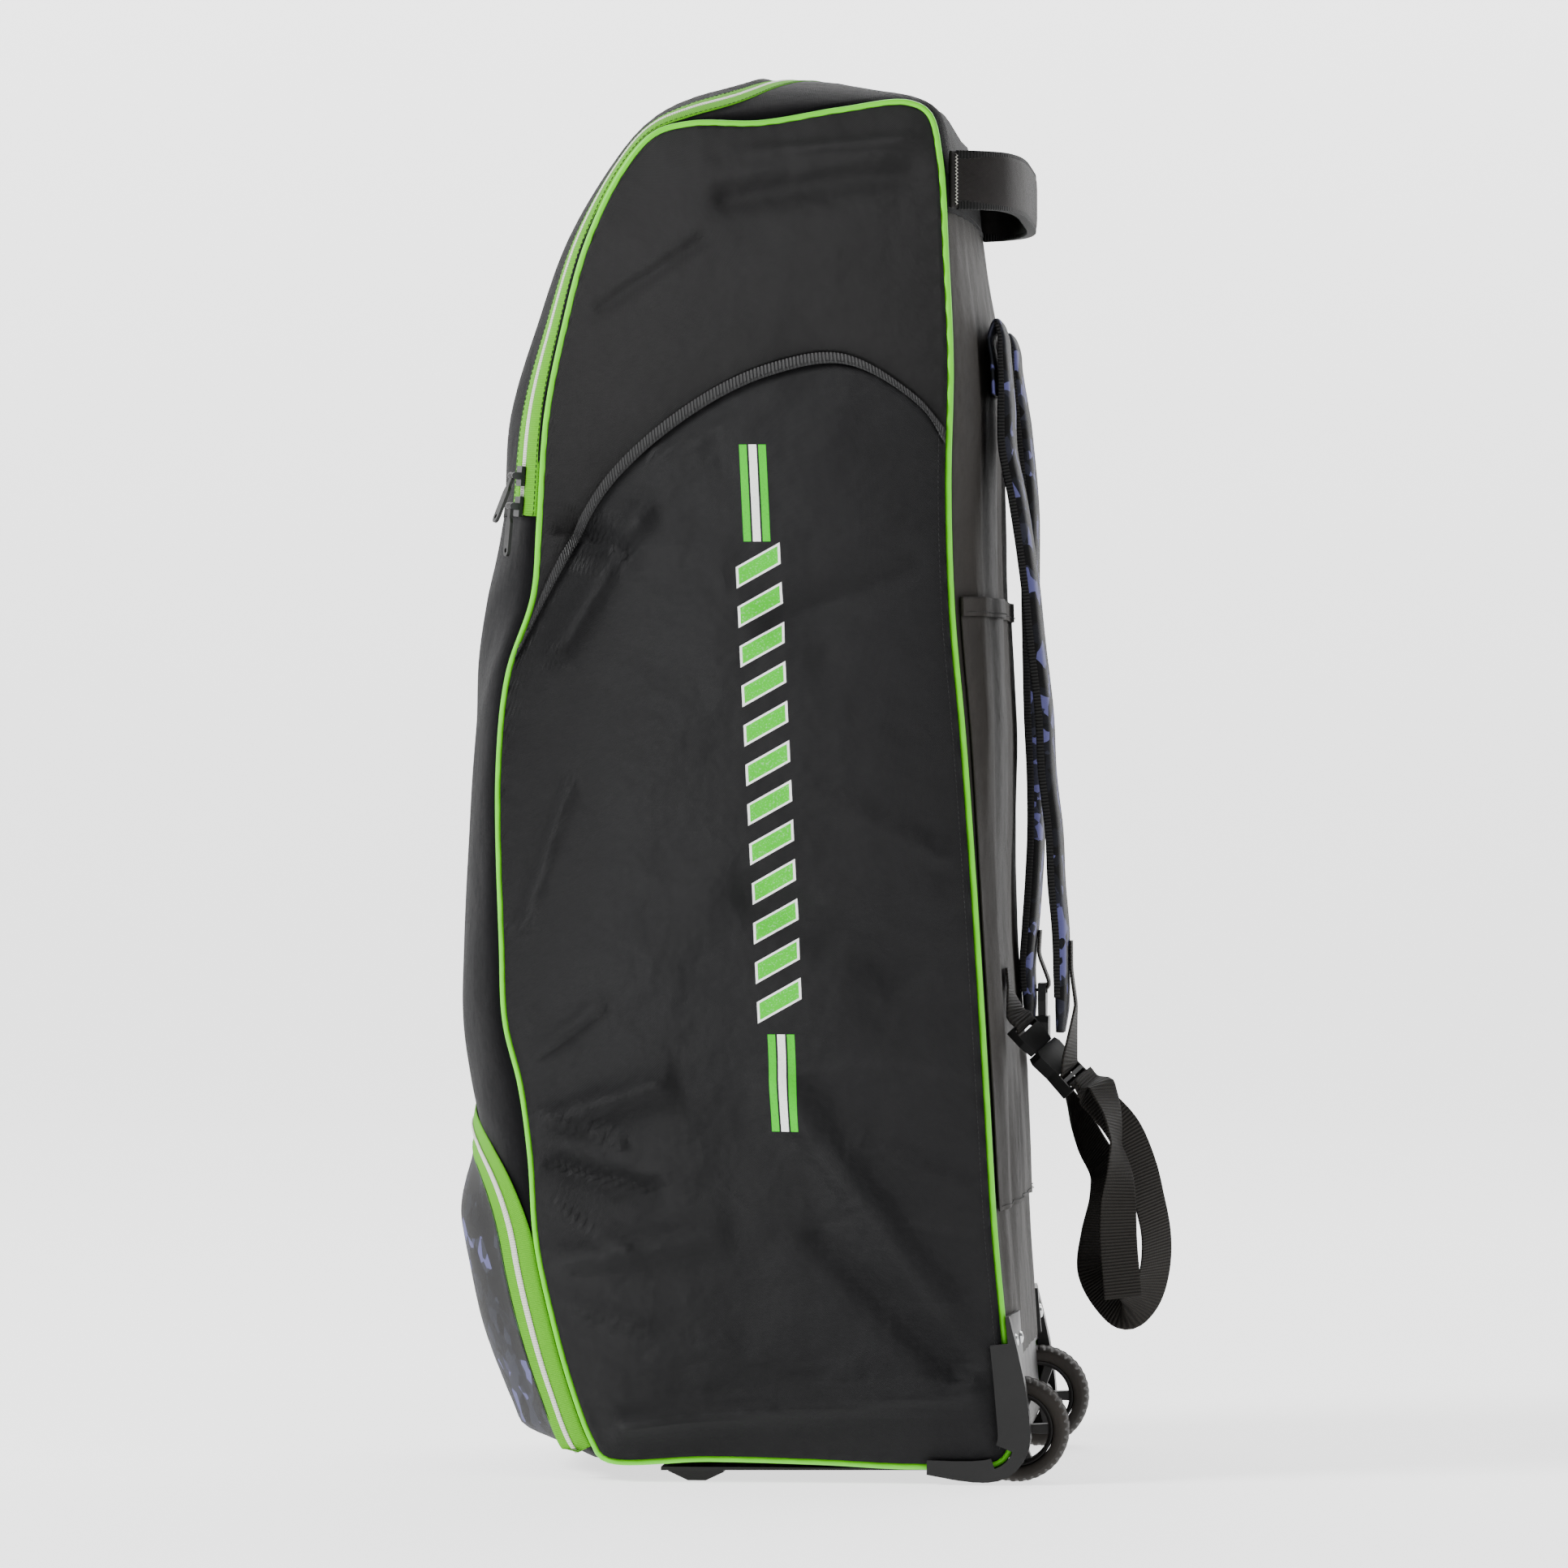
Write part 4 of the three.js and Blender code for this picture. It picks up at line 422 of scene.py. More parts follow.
def ribMaterial(name, dark, light, pitch, depth=0.0005, roughness=0.68, shine=0.18):
    g = Graph(name)
    u, v = g.uv()
    ribs = (v * (2 * math.pi / pitch)).sine() * 0.5 + 0.5
    threads = (u * (2 * math.pi / 0.0011)).sine() * 0.5 + 0.5
    fine = g.noise(500, 2, 0.6)
    # Colour follows the rib and thread waves: crests carry a painted highlight in the light colour and
    # grooves carry painted shade in the dark colour; the fine noise is tone
    share = (ribs * 0.55 + threads * 0.1 + fine * 0.35).math("MULTIPLY", 1, clamp=True)
    color = g.mix(share, linear(*dark), linear(*light))
    normal = g.bump(ribs + threads * 0.2 + fine * 0.25, depth)
    return g.finish(color, fine * 0.15 + roughness - 0.07, normal, Specular_IOR_Level=shine)


# Rib materials: the light colour is a painted highlight on the rib crests and the dark colour is painted
# shade in the grooves
webbing = ribMaterial("webbing", (8, 7, 6), (34, 31, 27), 0.0021)
hemRib = ribMaterial("hem_rib", (2, 2, 2), (44, 44, 45), 0.0024, 0.0011, 0.5, 0.4)
strapRib = ribMaterial("strap_rib", (4, 4, 4), (28, 28, 28), 0.0022, 0.0008)
greenTape = ribMaterial("green_tape", (62, 134, 6), (94, 170, 22), 0.0012, 0.0002, 0.8)
coilTeeth = ribMaterial("coil_teeth", (176, 180, 160), (238, 238, 226), 0.0016, 0.0007, 0.45, 0.4)


def hardMaterial(name, dark, light, roughness, grain=700, depth=0.00012, metallic=0.0):
    g = Graph(name)
    fine = g.noise(grain, 3, 0.6)
    broad = g.noise(30, 4, 0.6)
    share = (broad.ramp(0.35, 0.7) * 0.6 + fine * 0.4).math("MULTIPLY", 1, clamp=True)
    color = g.mix(share, linear(*dark), linear(*light))
    rough = broad.ramp(0.3, 0.7) * 0.12 + fine * 0.08 + (roughness - 0.1)
    return g.finish(color, rough, g.bump(fine, depth), Metallic=metallic, Specular_IOR_Level=0.3)


piping = hardMaterial("piping", (84, 190, 0), (98, 206, 0), 0.42, 300, 0.00004)
moulding = hardMaterial("moulding", (10, 9, 9), (28, 26, 25), 0.5)
gloss = hardMaterial("gloss_moulding", (6, 6, 6), (18, 18, 18), 0.46, 400, 0.00005)
rubber = hardMaterial("rubber", (14, 12, 10), (36, 31, 26), 0.68, 500, 0.0002)
darkMetal = hardMaterial("dark_metal", (24, 24, 25), (48, 48, 50), 0.34, 600, 0.00004, 0.7)
silver = hardMaterial("silver", (168, 170, 170), (208, 210, 210), 0.28, 500, 0.00005, 1.0)
thread = hardMaterial("thread", (12, 12, 12), (40, 40, 40), 0.7, 900, 0.0001)
whiteThread = hardMaterial("white_thread", (170, 168, 160), (214, 212, 205), 0.6, 900, 0.0001)
print("materials made")


# Meshes: points are in the outline's millimetres, uv in metres
def worldPoint(point):
    return ((point[0] + shiftX) / 1000, point[1] / 1000, point[2] / 1000)


def meshFrom(name, vertices, faces, uvs, material, shaded=True):
    mesh = bpy.data.meshes.new(name)
    mesh.from_pydata([worldPoint(v) for v in vertices], [], faces)
    layer = mesh.uv_layers.new(name="cloth")
    flat = np.array([uvs[i] for face in faces for i in face], dtype=float).ravel()
    layer.data.foreach_set("uv", flat)
    mesh.materials.append(material)
    if shaded:
        mesh.shade_smooth()
    obj = bpy.data.objects.new(name, mesh)
    bpy.context.collection.objects.link(obj)
    return obj


def settle(obj, body="bag", nodes=()):
    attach(obj, body)
    if nodes:
        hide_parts(*nodes)
    return obj


def gridUv(points):
    points = np.array(points, dtype=float)
    across = np.zeros(points.shape[:2])
    down = np.zeros(points.shape[:2])
    across[:, 1:] = np.cumsum(np.linalg.norm(np.diff(points, axis=1), axis=2), axis=1)
    middle = across[:, across.shape[1] // 2]
    across -= middle[:, None]
    down[1:, :] = np.cumsum(np.linalg.norm(np.diff(points, axis=0), axis=2), axis=0)
    mean = down.mean(axis=1)
    downs = np.repeat(mean[:, None], points.shape[1], 1)
    return np.stack([across / 1000, downs / 1000], axis=2)


# A sheet through a grid of points, with a wall
def sheetPiece(name, points, material, wall=1.6, turn=False):
    points = np.array(points, dtype=float)
    rows, columns = points.shape[:2]
    uv = gridUv(points)
    if turn:
        uv = uv[:, :, ::-1]
    faces = []
    for r in range(rows - 1):
        for c in range(columns - 1):
            a = r * columns + c
            faces.append((a, a + 1, a + columns + 1, a + columns))
    obj = meshFrom(name, points.reshape(-1, 3), faces, uv.reshape(-1, 2), material)
    solid = obj.modifiers.new("wall", "SOLIDIFY")
    solid.thickness = wall / 1000
    solid.offset = 0
    return obj


def flatSize(points):
    points = np.array(points, dtype=float)
    a, b, c, d = points[:-1, :-1], points[:-1, 1:], points[1:, 1:], points[1:, :-1]
    area = 0.5 * (
        np.linalg.norm(np.cross(b - a, c - a), axis=2) + np.linalg.norm(np.cross(c - a, d - a), axis=2)
    ).sum() / 1e6
    width = np.linalg.norm(np.diff(points, axis=1), axis=2).sum(axis=1).max() / 1000
    length = np.linalg.norm(np.diff(points, axis=0), axis=2).sum(axis=0).max() / 1000
    return (round(float(width), 4), round(float(length), 4)), round(float(area), 5)


def declareSheet(obj, points):
    flat, area = flatSize(points)
    area = min(area, flat[0] * flat[1])
    area = max(area, 0.3 * flat[0] * flat[1])
    print("sheet", obj.name, "flat", flat, "area", area)


# Rows of stitches along a path of points: each stitch is a small pointed bead
stitchStyle = {"length": 2.3, "space": 3.4, "thick": 0.34}


def stitches(name, path):
    length, space, thick = stitchStyle["length"], stitchStyle["space"], stitchStyle["thick"]
    path = np.array(path, dtype=float)
    lengths = np.concatenate([[0], np.cumsum(np.linalg.norm(np.diff(path, axis=0), axis=1))])
    vertices, faces, uvs = [], [], []
    for start in np.arange(0, lengths[-1] - length, space):
        ends = [np.array([np.interp(start + d, lengths, path[:, k]) for k in range(3)]) for d in (0, length)]
        axis = (ends[1] - ends[0]) / max(1e-6, np.linalg.norm(ends[1] - ends[0]))
        side = np.cross(axis, (0.31, 0.52, 0.8))
        side /= np.linalg.norm(side)
        other = np.cross(axis, side)
        base = len(vertices)
        for share, swell in ((0, 0.45), (0.5, 1), (1, 0.45)):
            middle = ends[0] + (ends[1] - ends[0]) * share
            for k in range(4):
                angle = k * math.pi / 2
                vertices.append(middle + (side * math.cos(angle) + other * math.sin(angle)) * thick * swell)
                uvs.append((k * 0.0004, share * 0.002))
        for ring in range(2):
            for k in range(4):
                a, b = base + ring * 4 + k, base + ring * 4 + (k + 1) % 4
                faces.append((a, b, b + 4, a + 4))
        faces += [(base + 3, base + 2, base + 1, base), (base + 8, base + 9, base + 10, base + 11)]
    return meshFrom(name, vertices, faces, uvs, thread)


# Camera at the photograph's angle
camera = {"turn": 4.6, "distance": 5.425, "lens": 187.3, "height": 0.4436, "centre": 4.9, "shiftY": 0.0062}
turn = math.radians(camera["turn"])
aim = Vector(((camera["centre"] + shiftX) / 1000, 0, camera["height"]))
cameraData = bpy.data.cameras.new("camera")
cameraData.lens = camera["lens"]
cameraData.sensor_width = 36
cameraData.shift_y = camera["shiftY"]
cameraData.clip_end = 60
cameraObject = bpy.data.objects.new("camera", cameraData)
bpy.context.collection.objects.link(cameraObject)
cameraObject.location = aim + camera["distance"] * Vector((math.sin(turn), -math.cos(turn), 0))
cameraObject.rotation_euler = (aim - cameraObject.location).to_track_quat("-Z", "Y").to_euler()
bpy.context.scene.camera = cameraObject

# Floor, backdrop and light
stageSet = {
    "floor": (214, 214, 214), "glowLow": 1.6, "glowHigh": 2.6, "world": 0.36,
    "key": 330, "fill": 60, "back": 60,
}


def backdrop():
    profile = [(-9, 0), (5, 0)]
    for k in range(1, 13):
        angle = k / 12 * math.pi / 2
        profile.append((5 + 2 * math.sin(angle), 2 - 2 * math.cos(angle)))
    profile.append((7, 9))
    vertices = [(x, y, z) for y, z in profile for x in (-12, 12)]
    faces = [(2 * k, 2 * k + 1, 2 * k + 3, 2 * k + 2) for k in range(len(profile) - 1)]
    mesh = bpy.data.meshes.new("backdrop")
    mesh.from_pydata(vertices, [], faces)
    g = Graph("backdrop")
    grain = g.noise(3, 3, 0.5)
    color = g.mix(grain, linear(*stageSet["floor"]), linear(*[c + 4 for c in stageSet["floor"]]))
    height = g.placeXYZ()[2].ramp(0.0, 2.0)
    glow = g.mix(height, [stageSet["glowLow"]] * 3 + [1], [stageSet["glowHigh"]] * 3 + [1])
    mesh.materials.append(g.finish(color, 0.9, Specular_IOR_Level=0.1, Emission_Color=glow,
                                   Emission_Strength=1.0))
    mesh.shade_smooth()
    obj = bpy.data.objects.new("backdrop", mesh)
    bpy.context.collection.objects.link(obj)


def areaLight(name, place, target, size, power):
    data = bpy.data.lights.new(name, "AREA")
    data.shape = "DISK"
    data.size = size
    data.energy = power
    light = bpy.data.objects.new(name, data)
    bpy.context.collection.objects.link(light)
    light.location = place
    light.rotation_euler = (Vector(target) - Vector(place)).to_track_quat("-Z", "Y").to_euler()


backdrop()
areaLight("key", (-3.4, -1.7, 3.1), (0, 0, 0.45), 1.7, stageSet["key"])
areaLight("fill", (2.8, -2.6, 1.5), (0, 0, 0.45), 2.6, stageSet["fill"])
areaLight("back", (0.6, 2.6, 3.2), (0, 0, 0.5), 3.0, stageSet["back"])
world = bpy.data.worlds.new("world")
bpy.context.scene.world = world
world.use_nodes = True
background = world.node_tree.nodes["Background"]
background.inputs["Color"].default_value = linear(236, 236, 238)
background.inputs["Strength"].default_value = stageSet["world"]
print("camera and stage made")


# Zip paths on the cloth, as in the frame
def archPath(start, turnRun, crest, edge, legSteps, archSteps):
    path = []
    for k in range(legSteps):
        run = lerp(start, turnRun, k / legSteps)
        path.append((run, edge - halfGirth(run)))
    for k in range(archSteps + 1):
        angle = k / archSteps * math.pi / 2
        run = turnRun + (crest - turnRun) * math.sin(angle)
        path.append((run, (edge - halfGirth(run)) * math.cos(angle)))
    back = [(run, -side) for run, side in reversed(path[:-1])]
    return np.array(path[:-1] + [(path[-1][0], 0.0)] + back)


def beside(path, distance):
    moved = []
    for k, (run, side) in enumerate(path):
        before, after = path[max(0, k - 1)], path[min(len(path) - 1, k + 1)]
        length = math.hypot(after[0] - before[0], after[1] - before[1])
        if k in (0, len(path) - 1):
            moved.append((run, side + math.copysign(distance, side)))
        else:
            moved.append((run + (after[1] - before[1]) / length * distance,
                          side - (after[0] - before[0]) / length * distance))
    return np.array(moved)


zipSet = {
    "foot": 622, "edge": 20, "turn": 62, "crest": 27, "coil": 6.5, "tape": 14,
    "pocketFoot": 24, "pocketTurn": 150, "pocketCrest": 234, "pocketEdge": 15.5,
    "pocketTape": 10, "pocketDepth": 25,
}
zipFrom = frontRun(zipSet["foot"])
zipPath = archPath(zipFrom, topRun(-zipSet["turn"]), topRun(zipSet["crest"]), zipSet["edge"], 60, 80)
zipReach = zipSet["coil"] / 2 + bag["gap"]


# A band beside a path, over shares of its width from the outer to the inner edge
def bandPoints(path, outer, inner, lift, columns=5):
    grid = []
    edges = [beside(path, lerp(outer, inner, c / (columns - 1))) for c in range(columns)]
    for k in range(len(path)):
        grid.append([
            clothPoint(edges[c][k][0], edges[c][k][1], lift(c / (columns - 1))) for c in range(columns)
        ])
    return grid


def zipBand(name, path, outer, inner, lift, material, nodes, wall, columns=5):
    points = bandPoints(path, outer, inner, lift, columns)
    return settle(sheetPiece(name, points, material, wall), nodes=nodes)


def coilLift(base):
    return lambda s: base + 0.9 * math.sin(math.pi * min(1, max(0, s))) ** 0.5


halfCoil = zipSet["coil"] / 2
zipBand("zip_coil_band", zipPath, halfCoil, -halfCoil, coilLift(0.5), coilTeeth, ["zip_coil"],
        1.0, 7)
zipBand("zip_tape_out", zipPath, zipReach + zipSet["tape"], zipReach - 0.6, lambda s: 0.9, greenTape,
        ["zip_tape_body"], 0.9)
zipBand("zip_tape_in", zipPath, -zipReach + 0.6, -zipReach - zipSet["tape"], lambda s: 0.9, greenTape,
        ["zip_tape_lid"], 0.9)
print("main zip made")


# Lid inside the arch
def placeOn(path, share):
    position = min(1, max(0, share)) * (len(path) - 1)
    k = min(len(path) - 2, int(position))
    return path[k] + (path[k + 1] - path[k]) * (position - k)


def archGrid(path, corner, rows, columns, lift):
    first, last = path[0], path[-1]
    upperStart, upperEnd = placeOn(path, corner), placeOn(path, 1 - corner)
    grid = []
    for r in range(rows + 1):
        t = r / rows
        row = []
        for c in range(columns + 1):
            s = c / columns
            across = lerp(placeOn(path, corner * t), placeOn(path, 1 - corner * t), s)
            upwards = lerp(lerp(first, last, s), placeOn(path, corner + (1 - 2 * corner) * s), t)
            corners = lerp(lerp(first, last, s), lerp(upperStart, upperEnd, s), t)
            run, side = across + upwards - corners
            row.append(clothPoint(run, side, lift(s, t)))
        grid.append(row)
    return grid


def lidLift(s, t):
    edge = smooth(min(s, 1 - s) * 8) * smooth(min(t, 1 - t) * 8)
    wave = ripple(s * 5, t * 9, 1.3) * 1.5 * edge
    return 2.5 * edge + wave + 0.4


lidEdge = beside(zipPath, -zipReach - zipSet["tape"] + 1.5)
lidPoints = archGrid(lidEdge, 0.4, 70, 56, lidLift)
lid = settle(sheetPiece("lid_cloth", lidPoints, blackCloth, 1.4), nodes=["lid"])
declareSheet(lid, lidPoints)
print("lid made")

# Yoke over the top
yokeTo = backRun(820)
yokeInner = beside(zipPath, zipReach + zipSet["tape"] - 1.5)


def yokeOuter(k):
    middle = (len(zipPath) - 1) / 2
    share = 1 - abs(k - middle) / middle
    sign = -1 if k < middle else 1
    legShare = 60 / middle
    if share <= legShare:
        run = yokeInner[k][0]
        return run, sign * halfGirth(run)
    bend = (share - legShare) / (1 - legShare)
    if bend <= 0.62:
        run = lerp(yokeInner[60][0], yokeTo, bend / 0.62)
        return run, sign * halfGirth(run)
    return yokeTo, sign * halfGirth(yokeTo) * (1 - (bend - 0.62) / 0.38)


yokePoints = []
for k in range(len(yokeInner)):
    outerRun, outerSide = yokeOuter(k)
    row = []
    for c in range(13):
        t = c / 12
        run, side = lerp(outerRun, yokeInner[k][0], t), lerp(outerSide, yokeInner[k][1], t)
        wave = ripple(run / 40, side / 34, 2.2) * 1.3 * smooth(t * 5) * smooth((1 - t) * 5)
        row.append(clothPoint(run, side, wave + 0.4 * smooth(t * 8)))
    yokePoints.append(row)
yoke = settle(sheetPiece("yoke_cloth", yokePoints, blackCloth, 1.4), nodes=["top_yoke"])
declareSheet(yoke, yokePoints)


# Panels between two runs
def panelPoints(start, end, rows, columns, lift):
    grid = []
    for r in range(rows + 1):
        run = lerp(start, end, r / rows)
        half = halfGirth(run)
        row = []
        for c in range(columns + 1):
            share = math.sin((c / columns - 0.5) * math.pi)
            row.append(clothPoint(run, share * half, lift(run, share)))
        grid.append(row)
    return grid


def frontLift(run, share):
    edge = smooth((1 - abs(share)) * 6)
    pinch = math.exp(-((run - frontRun(540)) / 40) ** 2)
    return edge * (ripple(run / 42, share * 5, 3.7) * 1.6 + pinch * math.sin(share * 9 + run / 30) * 1.8)


frontPoints = panelPoints(0, zipFrom - 0.3, 150, 56, frontLift)
front = settle(sheetPiece("front_cloth", frontPoints, blackCloth, 1.6), nodes=["front_panel"])
declareSheet(front, frontPoints)
trayBack = bottomRun(bag["depth"] * 0.36)
basePoints = panelPoints(trayBack + 0.3, fullRun - 0.3, 40, 24, lambda run, share: 0)
base = settle(sheetPiece("base_cloth", basePoints, blackCloth, 1.8), nodes=["base_panel"])
declareSheet(base, basePoints)
print("front and base made")

# Front pocket
pocketPath = archPath(frontRun(zipSet["pocketFoot"]), frontRun(zipSet["pocketTurn"]),
                      frontRun(zipSet["pocketCrest"]), zipSet["pocketEdge"], 40, 60)
pocketReach = halfCoil + bag["gap"]
pocketSeat = 2.5
pocketCoil = pocketSeat + zipSet["pocketDepth"] * 0.13
pocketInner = pocketSeat + zipSet["pocketDepth"] * 0.3
tape = zipSet["pocketTape"]
zipBand("pocket_band_out", pocketPath, pocketReach + tape, pocketReach - 0.6,
        lambda s: lerp(pocketSeat - 0.4, pocketCoil + 0.3, s), greenTape, ["pocket_tape_outer"],
        0.9)
zipBand("pocket_coil_band", pocketPath, halfCoil, -halfCoil, coilLift(pocketCoil + 0.9), coilTeeth,
        ["pocket_coil"], 1.0, 7)
zipBand("pocket_band_in", pocketPath, -pocketReach + 0.6, -pocketReach - tape,
        lambda s: lerp(pocketCoil + 0.3, pocketInner + 0.3, s), greenTape, ["pocket_tape_inner"],
        0.9)


def pocketLift(s, t):
    sideways = smooth(min(s, 1 - s) * 3.4)
    upward = smooth((1 - t) * 2.6)
    foot = smooth(t * 9)
    rim = pocketInner + (pocketSeat + 0.4 - pocketInner) * (1 - foot)
    wave = ripple(s * 7, t * 6, 4.4) * 1.2 * sideways
    return rim + (zipSet["pocketDepth"] - pocketInner) * sideways * upward * foot + wave * foot


pocketRim = beside(pocketPath, -pocketReach - tape + 1.2)
pocketPoints = archGrid(pocketRim, 0.36, 60, 52, pocketLift)
pocket = settle(sheetPiece("pocket_cloth", pocketPoints, facetCloth, 1.3), nodes=["pocket_face"])
declareSheet(pocket, pocketPoints)
print("front pocket made")

# Back: gathers run up it, with slack pulls at the slip pocket
backFolds = [
    (-0.78, 0.06, 0.01), (-0.35, 0.09, 0.012), (0.1, 0.08, 0.008), (0.5, 0.09, 0.012), (0.84, 0.05, 0.008),
]
backFrom, slipFrom = yokeTo + 0.3, backRun(573)
slipTo, backTo = backRun(177), backRun(78)
hemRun = slipFrom + 11.5


def backLift(run, share):
    folds = sum(rise * bag["width"] * math.exp(-((share - across) / (2 * width)) ** 2)
                for across, width, rise in backFolds)
    return folds * smooth((run - backFrom) / 90) * smooth((backTo - run) / 90)


def backDetail(run, share, seed, size=1.3):
    edge = smooth((1 - abs(share)) * 7)
    gathers = math.sin(share * 34 + math.sin(run / 60) * 1.4) * 0.5
    return backLift(run, share) + edge * size * (ripple(run / 36, share * 6, seed) + gathers)


backPoints = panelPoints(backFrom, backTo, 150, 60, lambda run, share: backDetail(run, share, 5.1, 0.9))
back = settle(sheetPiece("back_cloth", backPoints, greyCloth, 1.4), nodes=["back_panel"])
declareSheet(back, backPoints)


def slipPoints(start, end, rows, lift):
    grid = []
    for r in range(rows + 1):
        run = lerp(start, end, r / rows)
        half = halfGirth(run) - 5
        shares = [math.sin((c / 60 - 0.5) * math.pi) for c in range(61)]
        grid.append([clothPoint(run, share * half, lift(run, share)) for share in shares])
    return grid


pocketBack = slipPoints(hemRun, slipTo, 100, lambda run, share: backDetail(run, share, 6.3, 0.8) + 2.6)
slip = settle(sheetPiece("slip_pocket_cloth", pocketBack, greyCloth, 1.1), nodes=["back_slip_pocket"])
declareSheet(slip, pocketBack)
hemPoints = slipPoints(slipFrom, hemRun + 1, 6, lambda run, share: backDetail(run, share, 6.3, 0.8) + 3.6)
settle(sheetPiece("slip_hem_cloth", hemPoints, greyCloth, 2.6), nodes=["back_slip_hem"])
print("back made")


# Side panels, in the side view, as shares of their edges
def inset(run, distance):
    x, z, _ = outlineAt(run)
    outX, outZ = outwardAt(run)
    return np.array((x - outX * distance, z - outZ * distance))


mouthRows = [(0.015, 0.602), (0.116, 0.664), (0.2195, 0.729), (0.377, 0.78), (0.532, 0.8085),
             (0.6746, 0.8157), (0.8167, 0.7846), (0.8766, 0.761)]


def sideAt(across, up):
    return np.array(((across - 0.5) * bag["depth"], bag["floorGap"] + up * bag["height"]))


mouthFrontRun = frontRun(sideAt(*mouthRows[0])[1])
mouthBackRun = backRun(sideAt(*mouthRows[-1])[1])
topFrontRun = topRun(-bag["depth"] * 0.2)
topBackRun = crestRun + (backRun(bag["floorGap"] + bag["height"] * 0.97) - crestRun) * 0.5
bottomBackRun = cornerRun + (bottomRun(bag["depth"] * 0.475) - cornerRun) * 0.6
edgeIn = bag["pipingRadius"] - 0.3


def mouthCurve(frontEnd, backEnd, drop):
    inner = [sideAt(*row) + np.array((drop * 0.35, -drop)) for row in mouthRows[1:-1]]
    points = np.array([frontEnd] + inner + [backEnd])
    line = np.array([curvePoint(points, k / 300, False) for k in range(301)])
    lengths = np.concatenate([[0], np.cumsum(np.linalg.norm(np.diff(line, axis=0), axis=1))])
    return lambda s: np.array([np.interp(s * lengths[-1], lengths, line[:, k]) for k in range(2)])


hem = bag["hem"]
mouth = mouthCurve(inset(mouthFrontRun, edgeIn), inset(mouthBackRun, edgeIn), 0)
mouthLow = mouthCurve(inset(mouthFrontRun - 1.3 * hem, edgeIn), inset(mouthBackRun + 1.3 * hem, edgeIn), hem)


def alongRuns(start, end):
    return lambda share: inset(lerp(start, end, share), edgeIn)


def blended(lower, upper, frontEdge, backEdge, rows, columns):
    grid = []
    for r in range(rows + 1):
        t = r / rows
        row = []
        for c in range(columns + 1):
            s = c / columns
            across = lerp(frontEdge(t), backEdge(t), s)
            upwards = lerp(lower(s), upper(s), t)
            corners = lerp(lerp(lower(0), lower(1), s), lerp(upper(0), upper(1), s), t)
            row.append(across + upwards - corners)
        grid.append(row)
    return np.array(grid)


lowerGrid = blended(alongRuns(fullRun, bottomBackRun), mouthLow, alongRuns(0, mouthFrontRun - 1.3 * hem),
                    alongRuns(bottomBackRun, mouthBackRun + 1.3 * hem), 110, 64)
upperGrid = blended(mouth, alongRuns(topFrontRun, topBackRun), alongRuns(mouthFrontRun, topFrontRun),
                    alongRuns(mouthBackRun, topBackRun), 60, 64)
bindGrid = blended(mouthLow, mouth, alongRuns(mouthFrontRun - 1.3 * hem, mouthFrontRun),
                   alongRuns(mouthBackRun + 1.3 * hem, mouthBackRun), 4, 90)

# Folds of a side: from, to, width and rise, shares of depth, height and width
sideFolds = [
    (0.1, 0.69, 0.24, 0.67, 0.06, -0.014), (0.12, 0.6, 0.28, 0.7, 0.05, 0.008),
    (0.06, 0.25, 0.32, 0.28, 0.045, 0.012), (0.1, 0.22, 0.3, 0.2, 0.045, -0.012),
    (0.1, 0.15, 0.42, 0.17, 0.06, 0.009), (0.55, 0.28, 0.86, 0.12, 0.07, 0.012),
    (0.62, 0.17, 0.9, 0.07, 0.05, -0.01), (0.25, 0.03, 0.92, 0.055, 0.05, 0.012),
    (0.5, 0.42, 0.8, 0.36, 0.08, -0.009), (0.55, 0.62, 0.8, 0.66, 0.07, -0.008),
    (0.45, 0.93, 0.8, 0.95, 0.06, -0.008),
    (0.07, 0.3, 0.2, 0.34, 0.02, 0.005), (0.07, 0.26, 0.24, 0.24, 0.02, 0.006),
    (0.08, 0.2, 0.26, 0.16, 0.02, 0.005), (0.12, 0.12, 0.3, 0.1, 0.02, 0.005),
    (0.05, 0.4, 0.14, 0.5, 0.03, 0.004), (0.6, 0.5, 0.9, 0.44, 0.03, 0.004),
    (0.7, 0.24, 0.94, 0.2, 0.025, 0.005), (0.4, 0.09, 0.7, 0.07, 0.02, 0.004),
    (0.3, 0.74, 0.5, 0.77, 0.02, 0.003), (0.2, 0.85, 0.4, 0.9, 0.03, -0.004),
    (0.5, 0.965, 0.86, 0.975, 0.02, 0.004),
]
seamPoints = samples[::6, :2]
foldHeight = 2  # times the rise in the rows above


def foldRise(x, z):
    rise = 0
    for fromAcross, fromUp, toAcross, toUp, width, size in sideFolds:
        start, end = sideAt(fromAcross, fromUp), sideAt(toAcross, toUp)
        reach = end - start
        length = math.hypot(*reach)
        along = ((x - start[0]) * reach[0] + (z - start[1]) * reach[1]) / length
        off = ((x - start[0]) * reach[1] - (z - start[1]) * reach[0]) / length
        over = along - min(length, max(0, along))
        spread = width * bag["depth"] / 2
        rise += size * bag["width"] * math.exp(-(off * off + over * over) / (spread * spread))
    return rise * foldHeight


def sideOut(x, z):
    inside = float(np.min(np.hypot(seamPoints[:, 0] - x, seamPoints[:, 1] - z)))
    belly = bag["crown"] * (1 - math.exp(-inside / 41.6))
    settleShare = smooth(inside / 26)
    fine = ripple(x / 22, z / 30, 7.9) * 0.8 + ripple(x / 9, z / 12, 8.8) * 0.22
    return bag["width"] / 2 + belly + (foldRise(x, z) + fine) * settleShare


def outGrid(grid):
    return np.array([[sideOut(x, z) for x, z in row] for row in grid])


lowerOut, upperOut, bindOut = outGrid(lowerGrid), outGrid(upperGrid), outGrid(bindGrid)


def sidePoints(grid, outs, side, lift):
    return [[(x, side * (out + lift), z) for (x, z), out in zip(row, outRow)]
            for row, outRow in zip(grid, outs)]


